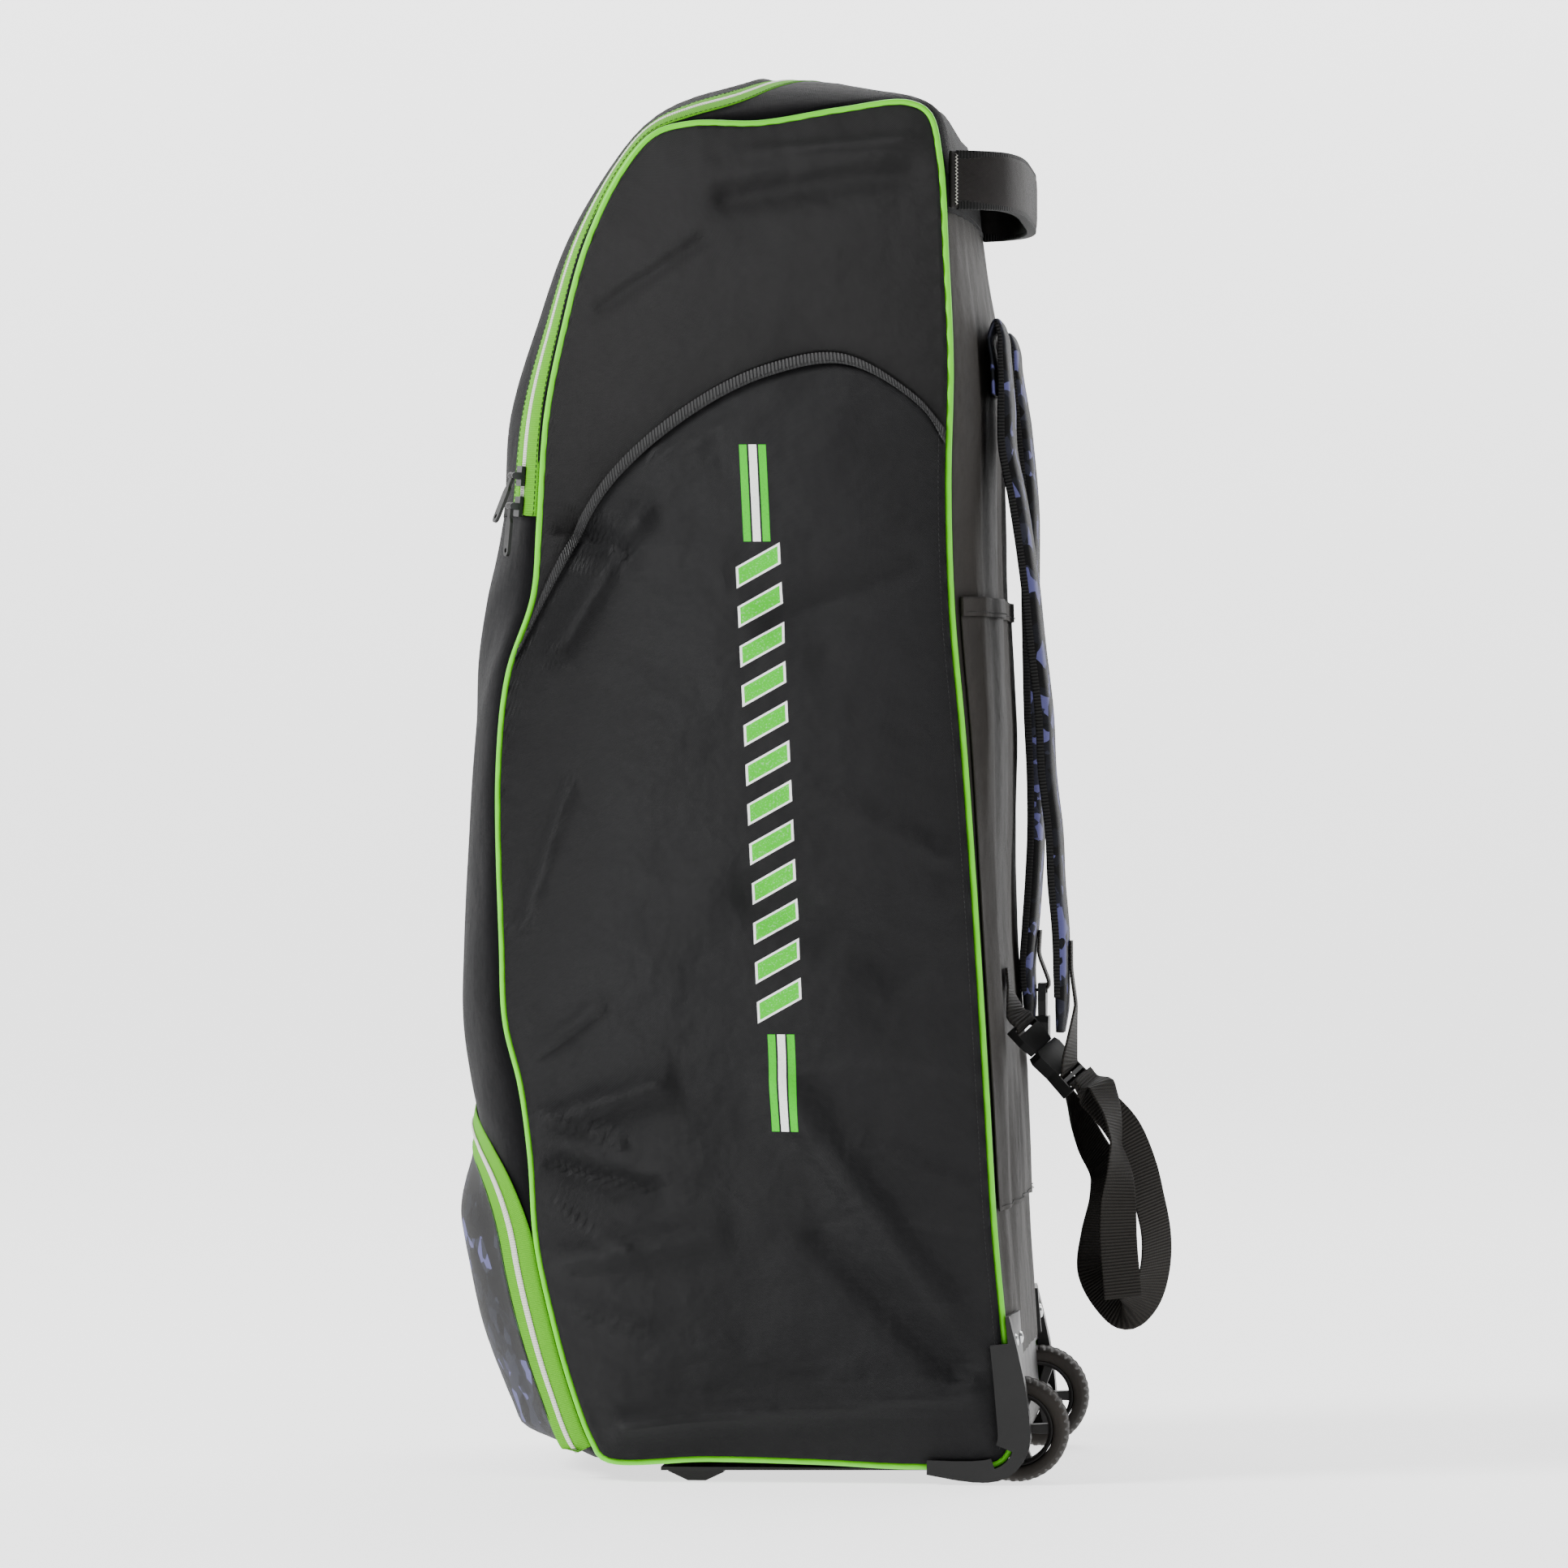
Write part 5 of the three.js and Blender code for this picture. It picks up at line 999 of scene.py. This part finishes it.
def tubePiece(name, centres, radius, material, corners=10, closed=True):
    centres = np.array(centres, dtype=float)
    count = len(centres)
    vertices, uvs, faces = [], [], []
    for k in range(count):
        before, after = centres[(k - 1) % count], centres[(k + 1) % count]
        tangent = (after - before) / np.linalg.norm(after - before)
        first = np.cross(tangent, (0, 1, 0))
        first /= np.linalg.norm(first)
        second = np.cross(tangent, first)
        for c in range(corners):
            angle = c / corners * 2 * math.pi
            vertices.append(centres[k] + (first * math.cos(angle) + second * math.sin(angle)) * radius)
            uvs.append((c / corners * 0.014, k * 0.005))
    for k in range(count if closed else count - 1):
        for c in range(corners):
            a, b = k * corners + c, k * corners + (c + 1) % corners
            d, e = ((k + 1) % count) * corners + c, ((k + 1) % count) * corners + (c + 1) % corners
            faces.append((a, b, e, d))
    return meshFrom(name, vertices, faces, uvs, material)


for name, side in (("right", -1), ("left", 1)):
    lowPoints = sidePoints(lowerGrid, lowerOut, side, 1.9)
    highPoints = sidePoints(upperGrid, upperOut, side, 0.2)
    lowPiece = settle(sheetPiece(f"side_pocket_cloth_{name}", lowPoints, sideCloth, 1.2),
                      nodes=[f"side_pocket_{name}"])
    highPiece = settle(sheetPiece(f"side_upper_cloth_{name}", highPoints, upperCloth, 1.4),
                       nodes=[f"side_panel_{name}"])
    bindPoints = sidePoints(bindGrid, bindOut, side, 2.9)
    bindPiece = settle(sheetPiece(f"side_bind_{name}", bindPoints, hemRib, 2.6, True),
                       nodes=[f"side_binding_{name}"])
    declareSheet(lowPiece, lowPoints)
    declareSheet(highPiece, highPoints)
    ringRuns = np.linspace(0, fullRun, 481)[:-1]
    centres = [(outlineAt(run)[0], side * bag["width"] / 2, outlineAt(run)[1]) for run in ringRuns]
    settle(tubePiece(f"piping_cord_{name}", centres, bag["pipingRadius"], piping),
           nodes=[f"piping_{name}"])
    seam = [(x, side * (sideOut(x, z) + 3.1), z) for x, z in (inset(run, 6) for run in np.linspace(
        bottomBackRun, mouthBackRun, 160))]
    settle(stitches(f"side_stitch_{name}", seam))
    stitchRow = [(x, side * (sideOut(x, z) + 4.4), z) for x, z in bindGrid[1]]
    settle(stitches(f"mouth_stitch_{name}", stitchRow))
print("sides made")


# Bands with a section: straps, handle, webbing
def sectionRing(kind, corners=20):
    ring = []
    for k in range(corners):
        angle = (k + 0.5) / corners * 2 * math.pi
        c, s = math.cos(angle), math.sin(angle)
        wide, thick = (0.36, 0.6) if kind == "pad" else (0.2, 0.35)
        ring.append((math.copysign(abs(c) ** wide, c), math.copysign(abs(s) ** thick, s)))
    return ring


def bandPiece(name, places, material, kind="pad", corners=20):
    ring = sectionRing(kind, corners)
    count = len(places)
    vertices, uvs, faces = [], [], []
    length = 0
    for k, (centre, across, width, wall) in enumerate(places):
        before, after = places[max(0, k - 1)][0], places[min(count - 1, k + 1)][0]
        tangent = (after - before) / np.linalg.norm(after - before)
        face = np.cross(tangent, across)
        face /= np.linalg.norm(face)
        wide = np.cross(face, tangent)
        if k:
            length += np.linalg.norm(centre - places[k - 1][0])
        for a, b in ring:
            vertices.append(centre + wide * a * width / 2 + face * b * wall / 2)
            uvs.append((a * width / 2000, length / 1000))
    for k in range(count - 1):
        for c in range(corners):
            a, b = k * corners + c, k * corners + (c + 1) % corners
            faces.append((a, b, b + corners, a + corners))
    faces.append(tuple(range(corners - 1, -1, -1)))
    faces.append(tuple((count - 1) * corners + c for c in range(corners)))
    return meshFrom(name, vertices, faces, uvs, material)


def smoothPlaces(places, count):
    centres = np.array([place[0] for place in places])
    acrosses = np.array([place[1] for place in places])
    sizes = np.array([(place[2], place[3]) for place in places])
    result = []
    for k in range(count + 1):
        t = k / count
        position = t * (len(places) - 1)
        low = min(len(places) - 2, int(position))
        share = position - low
        result.append((curvePoint(centres, t, False), lerp(acrosses[low], acrosses[low + 1], share),
                       *lerp(sizes[low], sizes[low + 1], share)))
    return result


def vec(*values):
    return np.array(values, dtype=float)


# Haul handle across the top of the back
handle = {"height": 841, "width": 37, "wall": 8, "reach": 46}
handleRows = [(0.955, 0, 0.35), (0.925, 0.05, 0.4), (0.88, 0.36, 0.6), (0.77, 0.7, 1), (0.6, 0.9, 1),
              (0.36, 0.99, 1), (0.12, 1, 1)]
handleRun = backRun(handle["height"])
handlePlaces = []
for across, reach, wall in handleRows:
    thick = wall * handle["wall"]
    x, y, z = clothPoint(handleRun, across * clothHalf, bag["clothWall"] / 2 + bag["gap"] + thick / 2)
    x += reach * (handle["reach"] - (x - outlineAt(handleRun)[0]))
    handlePlaces.append((vec(x, y, z), vec(0, 0, 1), handle["width"], thick))
mirrored = [(vec(c[0], -c[1], c[2]), a, w, t) for c, a, w, t in handlePlaces]
handlePath = smoothPlaces(mirrored + handlePlaces[::-1], 120)
handleCloth = clothMaterial("handle_cloth", (20, 19, 19), (44, 42, 41), 0.0012, creases=0.002)
handlePiece = settle(bandPiece("handle_pad", handlePath, handleCloth), nodes=["haul_handle"])


# Shift along a band's own width and face
def shifted(places, wideShare, faceShare, width=None, wall=None, start=0, end=None):
    result = []
    chosen = places[start:end]
    for k, (centre, across, wide, thick) in enumerate(chosen):
        before, after = chosen[max(0, k - 1)][0], chosen[min(len(chosen) - 1, k + 1)][0]
        tangent = (after - before) / np.linalg.norm(after - before)
        face = np.cross(tangent, across)
        face /= np.linalg.norm(face)
        side = np.cross(face, tangent)
        offWide = wideShare(wide) if callable(wideShare) else wideShare
        offFace = faceShare(thick) if callable(faceShare) else faceShare
        result.append((centre + side * offWide + face * offFace, across, width or wide,
                       wall(thick) if callable(wall) else (wall or thick)))
    return result


def edgeBindings(name, places, width, start=0, end=None, thicker=0.72, inward=0.0):
    for label, sign in (("low", -1), ("high", 1)):
        edge = shifted(places, lambda wide: sign * (wide / 2 - width * 0.42),
                       lambda thick: thick * inward, width, lambda thick: thick * thicker + 0.9, start, end)
        settle(bandPiece(f"{name}_bind_{label}", edge, strapRib, "flat", 16))
        line = shifted(edge, -sign * width * 0.32, lambda thick: thick / 2 * 0.97)
        settle(stitches(f"{name}_bind_stitch_{label}", [place[0] for place in line]))


edgeBindings("handle", handlePath, 6.5, 10, -10)
outerFace = shifted(handlePath, 0, lambda thick: thick / 2 + 0.3)
for name, ends in (("right", (5, 9)), ("left", (-6, -10))):
    zigzag = []
    for k in range(31):
        centre = outerFace[ends[k % 2]][0]
        zigzag.append(centre + vec(0, 0, handle["width"] * (k / 30 - 0.5) * 0.9))
    settle(tubePiece(f"handle_tack_{name}", zigzag, 0.45, whiteThread, 6, False))
print("handle made")

# Shoulder straps: drop below the top, reach right and left, over the root, wall
strap = {"spread": 85, "width": 62, "top": 751, "drop": 481, "reach": 47, "wall": 10.5, "ease": 20}
strapRows = [
    (0.1, 0, 0, 0, 0.3), (0.055, 0, 0, 0, 0.3), (0.02, 0, 0, 0, 0.3), (0, 0, 0, 0.26, 0.4),
    (0.018, 0.27, 0.375, 0.48, 0.5), (0.046, 0.4, 0.53, 0.44, 0.62), (0.094, 0.49, 0.69, 0.42, 0.8),
    (0.118, 0.56, 0.72, 0.36, 0.95), (0.172, 0.72, 0.79, 0, 1), (0.243, 0.87, 0.855, 0, 1),
    (0.349, 1, 0.83, 0, 1), (0.43, 1.04, 0.8, 0, 1), (0.53, 1.06, 0.725, 0, 1), (0.61, 1.04, 0.7, 0, 0.98),
    (0.692, 1.07, 0.64, 0, 0.96), (0.76, 1.06, 0.565, 0, 0.95), (0.825, 1.07, 0.47, 0, 0.92),
    (0.88, 1.05, 0.385, 0, 0.85), (0.93, 1.02, 0.315, 0, 0.75), (0.962, 0.98, 0.3, 0, 0.5),
]


def backFace(z, side, width):
    run = backRun(z)
    faces = []
    for share in (-0.5, -0.25, 0, 0.25, 0.5):
        at = side + share * width
        covered = bag["gap"] + (1.4 if run > hemRun else 3.5)
        lift = backLift(run, at / halfGirth(run)) + bag["clothWall"] / 2
        faces.append(clothPoint(run, at, lift + covered if run > slipFrom else lift)[0])
    return max(faces)


def strapPlaces(column, side):
    result = []
    for row in strapRows:
        z = strap["top"] - row[0] * strap["drop"]
        wall = row[4] * strap["wall"]
        ease = strap["ease"] if row[4] > 0.35 else 0
        face = max(
            backFace(z + lerp(-ease, ease, k / 4), side * strap["spread"], strap["width"]) for k in range(5)
        )
        x = max(face + bag["gap"] + wall / 2 + row[3] * strap["wall"],
                outlineAt(backRun(z))[0] + row[column] * strap["reach"])
        width = strap["width"] * (0.75 if row[4] < 0.6 and row[0] > 0.5 else 1)
        result.append((vec(x, side * strap["spread"], z), vec(0, 1, 0), width, wall))
    return result


# Webbing and buckles
webbingSet = {"width": 25, "wall": 1.8, "anchor": 314}
buckle = {"width": 31, "wall": 9, "length": 56, "slot": 4.2, "bar": 2.6}
maleLength = 0.39 * buckle["length"]
femaleLength = buckle["length"] - maleLength
ladderSlot = femaleLength - buckle["bar"] - buckle["slot"]
innerSlot = ladderSlot - buckle["bar"] - buckle["slot"]
maleSlot = buckle["bar"] - maleLength - bag["gap"]
barMiddle = buckle["slot"] / 2
overMale = buckle["wall"] * 0.3 + 2 * bag["gap"] + webbingSet["wall"] / 2
overFemale = buckle["wall"] * 0.5 + 2 * bag["gap"] + webbingSet["wall"] / 2
buckleRows = {"right": (37, 272.98, 47, 30), "left": (26, 287.98, 90, 0)}


def webbingPlaces(name, side, column):
    out, height, tilt, roll = buckleRows[name]
    origin = vec(outlineAt(backRun(height))[0] + out, side * strap["spread"], height)
    t, r = math.radians(tilt), math.radians(-side * roll)
    turnY = np.array([[math.cos(t), 0, math.sin(t)], [0, 1, 0], [-math.sin(t), 0, math.cos(t)]])
    turnX = np.array([[1, 0, 0], [0, math.cos(r), -math.sin(r)], [0, math.sin(r), math.cos(r)]])
    spin = turnY @ turnX
    sewn = strapPlaces(column, side)
    level = sewn[-3][0][2]

    def onBuckle(x, z):
        return origin + spin @ vec(x + maleLength - buckle["length"] / 2, 0, z), spin @ vec(0, 1, 0)

    def onStrap(rise, lift):
        z = level + rise
        k = max(n for n, place in enumerate(sewn) if place[0][2] >= z)
        above, below = sewn[k], sewn[k + 1]
        share = (above[0][2] - z) / (above[0][2] - below[0][2])
        x = lerp(above[0][0] + above[3] / 2, below[0][0] + below[3] / 2, share)
        x += 2 * bag["gap"] + webbingSet["wall"] / 2 + lift
        return vec(x, side * strap["spread"], z), vec(0, 1, 0)

    def onBack(z, lift):
        face = backFace(z, side * strap["spread"], webbingSet["width"])
        return vec(face + bag["gap"] + webbingSet["wall"] / 2 + lift, side * strap["spread"], z), vec(0, 1, 0)

    return onBuckle, onStrap, onBack


def webbingPiece(name, places, nodes):
    centres = np.array([place[0] for place in places])
    acrosses = np.array([place[1] for place in places])
    lengths = np.concatenate([[0], np.cumsum(np.linalg.norm(np.diff(centres, axis=0), axis=1))])
    count = int(lengths[-1] / 2.5)
    fine = []
    for k in range(count + 1):
        wanted = lengths[-1] * k / count
        low = min(len(places) - 2, int(np.searchsorted(lengths, wanted, side="right")) - 1)
        share = (wanted - lengths[low]) / (lengths[low + 1] - lengths[low])
        centre = lerp(centres[low], centres[low + 1], share)
        across = lerp(acrosses[low], acrosses[low + 1], share)
        fine.append((centre, across, webbingSet["width"], webbingSet["wall"]))
    soft = [fine[0]]
    for k in range(1, count):
        middle = fine[k - 1][0] * 0.25 + fine[k][0] * 0.5 + fine[k + 1][0] * 0.25
        soft.append((middle, fine[k][1], fine[k][2], fine[k][3]))
    soft.append(fine[-1])
    return settle(bandPiece(name, soft, webbing, "flat", 16), nodes=nodes)


tailDrop = 152
tailLoopRows = [
    (0.05, -0.02, -1, 52), (0.12, -0.09, -1, 55), (0.2, -0.19, -0.98, 65), (0.265, -0.34, -0.95, 60),
    (0.305, -0.48, -0.92, 50), (0.335, -0.64, -0.86, 46), (0.325, -0.8, -0.76, 46),
    (0.275, -0.925, -0.66, 54),
    (0.2, -0.985, -0.56, 66), (0.12, -0.92, -0.42, 72), (0.06, -0.81, -0.26, 76), (0.07, -0.67, -0.08, 74),
    (0.1, -0.52, 0.15, 70), (0.09, -0.4, 0.34, 60), (0.02, -0.28, 0.54, 50), (-0.05, -0.15, 0.75, 30),
    (-0.12, -0.03, 0.97, 4),
]
tailEndRows = [
    (0.1, 0.02, -1.1, 40), (0.15, -0.11, -1.17, 24), (0.17, -0.24, -1.22, 12), (0.185, -0.37, -1.24, 40),
    (0.18, -0.5, -1.24, 66), (0.18, -0.65, -1.22, 74), (0.2, -0.9, -1.2, 76),
]


def tailPlaces(rows, root, count):
    points = np.array([(root[0] + x * tailDrop, side * strap["spread"], root[2] + z * tailDrop)
                       for x, z, side, _ in rows])
    result = []
    for k in range(count + 1):
        t = k / count
        position = t * (len(rows) - 1)
        low = min(len(rows) - 2, int(position))
        angle = math.radians(lerp(rows[low][3], rows[low + 1][3], position - low))
        tangent = curvePoint(points, min(1, t + 0.001), False) - curvePoint(points, max(0, t - 0.001), False)
        level = vec(-tangent[2], 0, tangent[0])
        level /= np.linalg.norm(level)
        result.append((curvePoint(points, t, False), vec(0, math.cos(angle), 0) + level * math.sin(angle)))
    return result


bandSets = {}
for name, side, column in (("right", -1, 1), ("left", 1, 2)):
    path = smoothPlaces(strapPlaces(column, side), 200)
    piece = settle(bandPiece(f"strap_pad_{name}", path, strapCloth), nodes=[f"shoulder_strap_{name}"])
    edgeBindings(f"strap_{name}", path, 8, 30, -14, 0.4, -0.26)
    bandSets[name] = webbingPlaces(name, side, column)
print("straps made")
webEnd = {}
for name, side in (("right", -1), ("left", 1)):
    onBuckle, onStrap, onBack = bandSets[name]
    throughMale = [
        onBuckle(-maleLength - 5, overMale * 0.7), onBuckle(-maleLength, overMale + 0.5),
        onBuckle(maleSlot + barMiddle - 0.6, overMale * 0.9), onBuckle(maleSlot + barMiddle, 0),
        onBuckle(maleSlot + barMiddle, -overMale),
    ]
    anchor = webbingSet["anchor"]
    if name == "right":
        start = [onBack(anchor + 16, 0), onBack(anchor + 4, 0.5)]
    else:
        start = [onStrap(24, 0), onStrap(8, 0.4)]
    webbingPiece(f"anchor_web_{name}", start + throughMale, [f"anchor_{name}"])
    webEnd[name] = [
        onBuckle(ladderSlot + barMiddle, 0), onBuckle(ladderSlot + barMiddle + 0.6, overFemale * 0.9),
        onBuckle(femaleLength - 0.5, overFemale + 0.4), onBuckle(femaleLength + 4, overFemale * 0.7),
    ]
onBuckle, onStrap, onBack = bandSets["right"]
root = onBuckle(femaleLength, 0)[0]
webbingPiece("tail_loop_web", [
    onStrap(20, 0), onStrap(2, 0), onStrap(-6, 1), onStrap(-22, 3.5),
    onBuckle(innerSlot + barMiddle - 3, overFemale + 1.4),
    onBuckle(innerSlot + barMiddle - 0.6, overFemale * 0.9),
    onBuckle(innerSlot + barMiddle, 0), onBuckle(innerSlot + barMiddle + 0.6, -overFemale * 0.9),
    onBuckle(ladderSlot + barMiddle - 0.6, -overFemale * 0.9),
    *webEnd["right"], *tailPlaces(tailLoopRows, root, 60), *webEnd["left"][:-1][::-1],
], ["tail_loop"])
doubled = webbingSet["wall"] + 4 * bag["gap"]
webbingPiece("tail_end_web", [
    onBuckle(femaleLength - 4, overFemale + 0.4 + doubled),
    onBuckle(femaleLength - 0.5, overFemale + 0.4 + doubled),
    onBuckle(femaleLength + 4, overFemale * 0.7 + doubled + 1), *tailPlaces(tailEndRows, root, 30),
], ["tail_end"])
print("webbing made")

# Wheels
wheel = {
    "radius": 34, "width": 30, "spread": 146, "rim": 24, "hub": 9.5, "lugs": 40, "groove": 1.3,
    "spokes": 5, "spokeThick": 12, "rimHalf": 0.31,
}
tyreSection = [
    (wheel["rim"] + bag["gap"], -0.43), (26, -0.47), (29.9, -0.5), (31.6, -0.46), (33, -0.4), (33.8, -0.3),
    (34, -0.2), (34, -0.09), (33.2, -0.06), (33.2, 0.06), (34, 0.09), (34, 0.2), (33.8, 0.3), (33, 0.4),
    (31.6, 0.46), (29.9, 0.5), (26, 0.47), (wheel["rim"] + bag["gap"], 0.43),
]


def latheRing(vertices, uvs, faces, section, middle, steps, radiusAt):
    base = len(vertices)
    count = len(section)
    for k in range(steps):
        angle = k / steps * 2 * math.pi
        for n, (radius, share) in enumerate(section):
            reach = radiusAt(radius, share, k)
            vertices.append((axleX + math.cos(angle) * reach, middle + share * wheel["width"],
                             wheel["radius"] + math.sin(angle) * reach))
            uvs.append((n * 0.002, k * 0.002))
    for k in range(steps):
        for n in range(count):
            a, b = base + k * count + n, base + k * count + (n + 1) % count
            c = base + ((k + 1) % steps) * count + (n + 1) % count
            d = base + ((k + 1) % steps) * count + n
            faces.append((a, d, c, b))


def treadRadius(radius, share, k):
    lug = k % 6
    deep = wheel["groove"] if lug < 2 and abs(share) > 0.12 and radius > 32 else 0
    return radius - deep


def barBox(vertices, uvs, faces, ends, widths, thick, middle):
    base = len(vertices)
    (r0, a0), (r1, a1) = ends
    for radius, angle, width in ((r0, a0, widths[0]), (r1, a1, widths[1])):
        for off in (-width / 2, width / 2):
            for depth in (-thick / 2, thick / 2):
                x = math.cos(angle) * radius - math.sin(angle) * off
                z = math.sin(angle) * radius + math.cos(angle) * off
                vertices.append((axleX + x, middle + depth, wheel["radius"] + z))
                uvs.append((0, 0))
    b = base
    faces += [(b, b + 1, b + 3, b + 2), (b + 4, b + 6, b + 7, b + 5), (b, b + 4, b + 5, b + 1),
              (b + 2, b + 3, b + 7, b + 6), (b, b + 2, b + 6, b + 4), (b + 1, b + 5, b + 7, b + 3)]


for name, side in (("right", -1), ("left", 1)):
    middle = side * wheel["spread"]
    vertices, uvs, faces = [], [], []
    latheRing(vertices, uvs, faces, tyreSection, middle, 6 * wheel["lugs"], treadRadius)
    tyre = meshFrom(f"tyre_{name}", vertices, faces, uvs, rubber)
    tyre.data.shade_smooth()
    edges = tyre.modifiers.new("edges", "BEVEL")
    edges.width = 0.0003
    edges.limit_method = "ANGLE"
    settle(tyre, f"wheel_{name}", [f"wheel_tyre_{name}"])
    vertices, uvs, faces = [], [], []
    half, rimRadius, hub = wheel["rimHalf"], wheel["rim"], wheel["hub"]
    outerRing = [
        (rimRadius, -half), (rimRadius, half), (22.6, half), (20.8, half * 0.8),
        (20.8, -half * 0.8), (22.6, -half),
    ]
    innerRing = [(hub, -half * 0.9), (hub, half * 0.9), (7.5, half), (4.4, half), (4.4, -half), (7.5, -half)]
    for ring in (outerRing, innerRing):
        latheRing(vertices, uvs, faces, ring, middle, 96, lambda radius, share, k: radius)
    for k in range(wheel["spokes"]):
        angle = (k + 1) / wheel["spokes"] * 2 * math.pi
        barBox(vertices, uvs, faces, ((8.5, angle), (21.6, angle)), (5.4, 6.6), wheel["spokeThick"], middle)
    rim = meshFrom(f"rim_{name}", vertices, faces, uvs, moulding, False)
    soft = rim.modifiers.new("edges", "BEVEL")
    soft.width = 0.0005
    soft.segments = 2
    soft.limit_method = "ANGLE"
    settle(rim, f"wheel_{name}", [f"wheel_rim_{name}"])
print("wheels made")

# Hard pieces kept from the frame, with softened edges
hardLooks = {
    "moulded_base": (moulding, 0.9), "corner_guard_right": (gloss, 0.7), "corner_guard_left": (gloss, 0.7),
    "foot_right": (moulding, 1.2), "foot_left": (moulding, 1.2), "axle_right": (silver, 0.3),
    "axle_left": (silver, 0.3), "slider_upper": (darkMetal, 0.3), "slider_lower": (darkMetal, 0.3),
    "slider_pocket": (darkMetal, 0.3), "pull_upper": (gloss, 0.4), "pull_lower": (gloss, 0.4),
    "pull_pocket": (gloss, 0.4), "buckle_female_right": (gloss, 0.9), "buckle_male_right": (gloss, 0.9),
    "buckle_female_left": (gloss, 0.9), "buckle_male_left": (gloss, 0.9), "rivet_right_1": (silver, 0.2),
    "rivet_right_2": (silver, 0.2), "rivet_left_1": (silver, 0.2), "rivet_left_2": (silver, 0.2),
}
for name, (material, radius) in hardLooks.items():
    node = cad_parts[name]
    node.data.materials.clear()
    node.data.materials.append(material)
    bevel = node.modifiers.new("edges", "BEVEL")
    bevel.width = radius / 1000
    bevel.segments = 2
    bevel.limit_method = "ANGLE"
    bevel.angle_limit = math.radians(40)

# Seams and rows of stitches on the cloth
def alongCloth(run, lift, margin=4):
    half = halfGirth(run) - margin
    return [clothPoint(run, share * half, lift(share) + 0.9) for share in np.linspace(-1, 1, 120)]


settle(stitches("yoke_stitch", alongCloth(yokeTo - 3, lambda share: 0.3)))
for label, run, at, rise in (("low", hemRun - 1.5, hemRun, 4.6), ("foot", slipTo - 3, slipTo, 3.2)):
    line = alongCloth(run, lambda share: backDetail(at, share, 6.3, 0.8) + rise, 8)
    settle(stitches(f"slip_stitch_{label}", line))
for label, offset in (("out", zipReach + zipSet["tape"] - 2.2), ("in", -zipReach - zipSet["tape"] + 2.4)):
    line = [clothPoint(run, side, 1.5) for run, side in beside(zipPath, offset)]
    settle(stitches(f"zip_stitch_{label}", line))
print("details made")
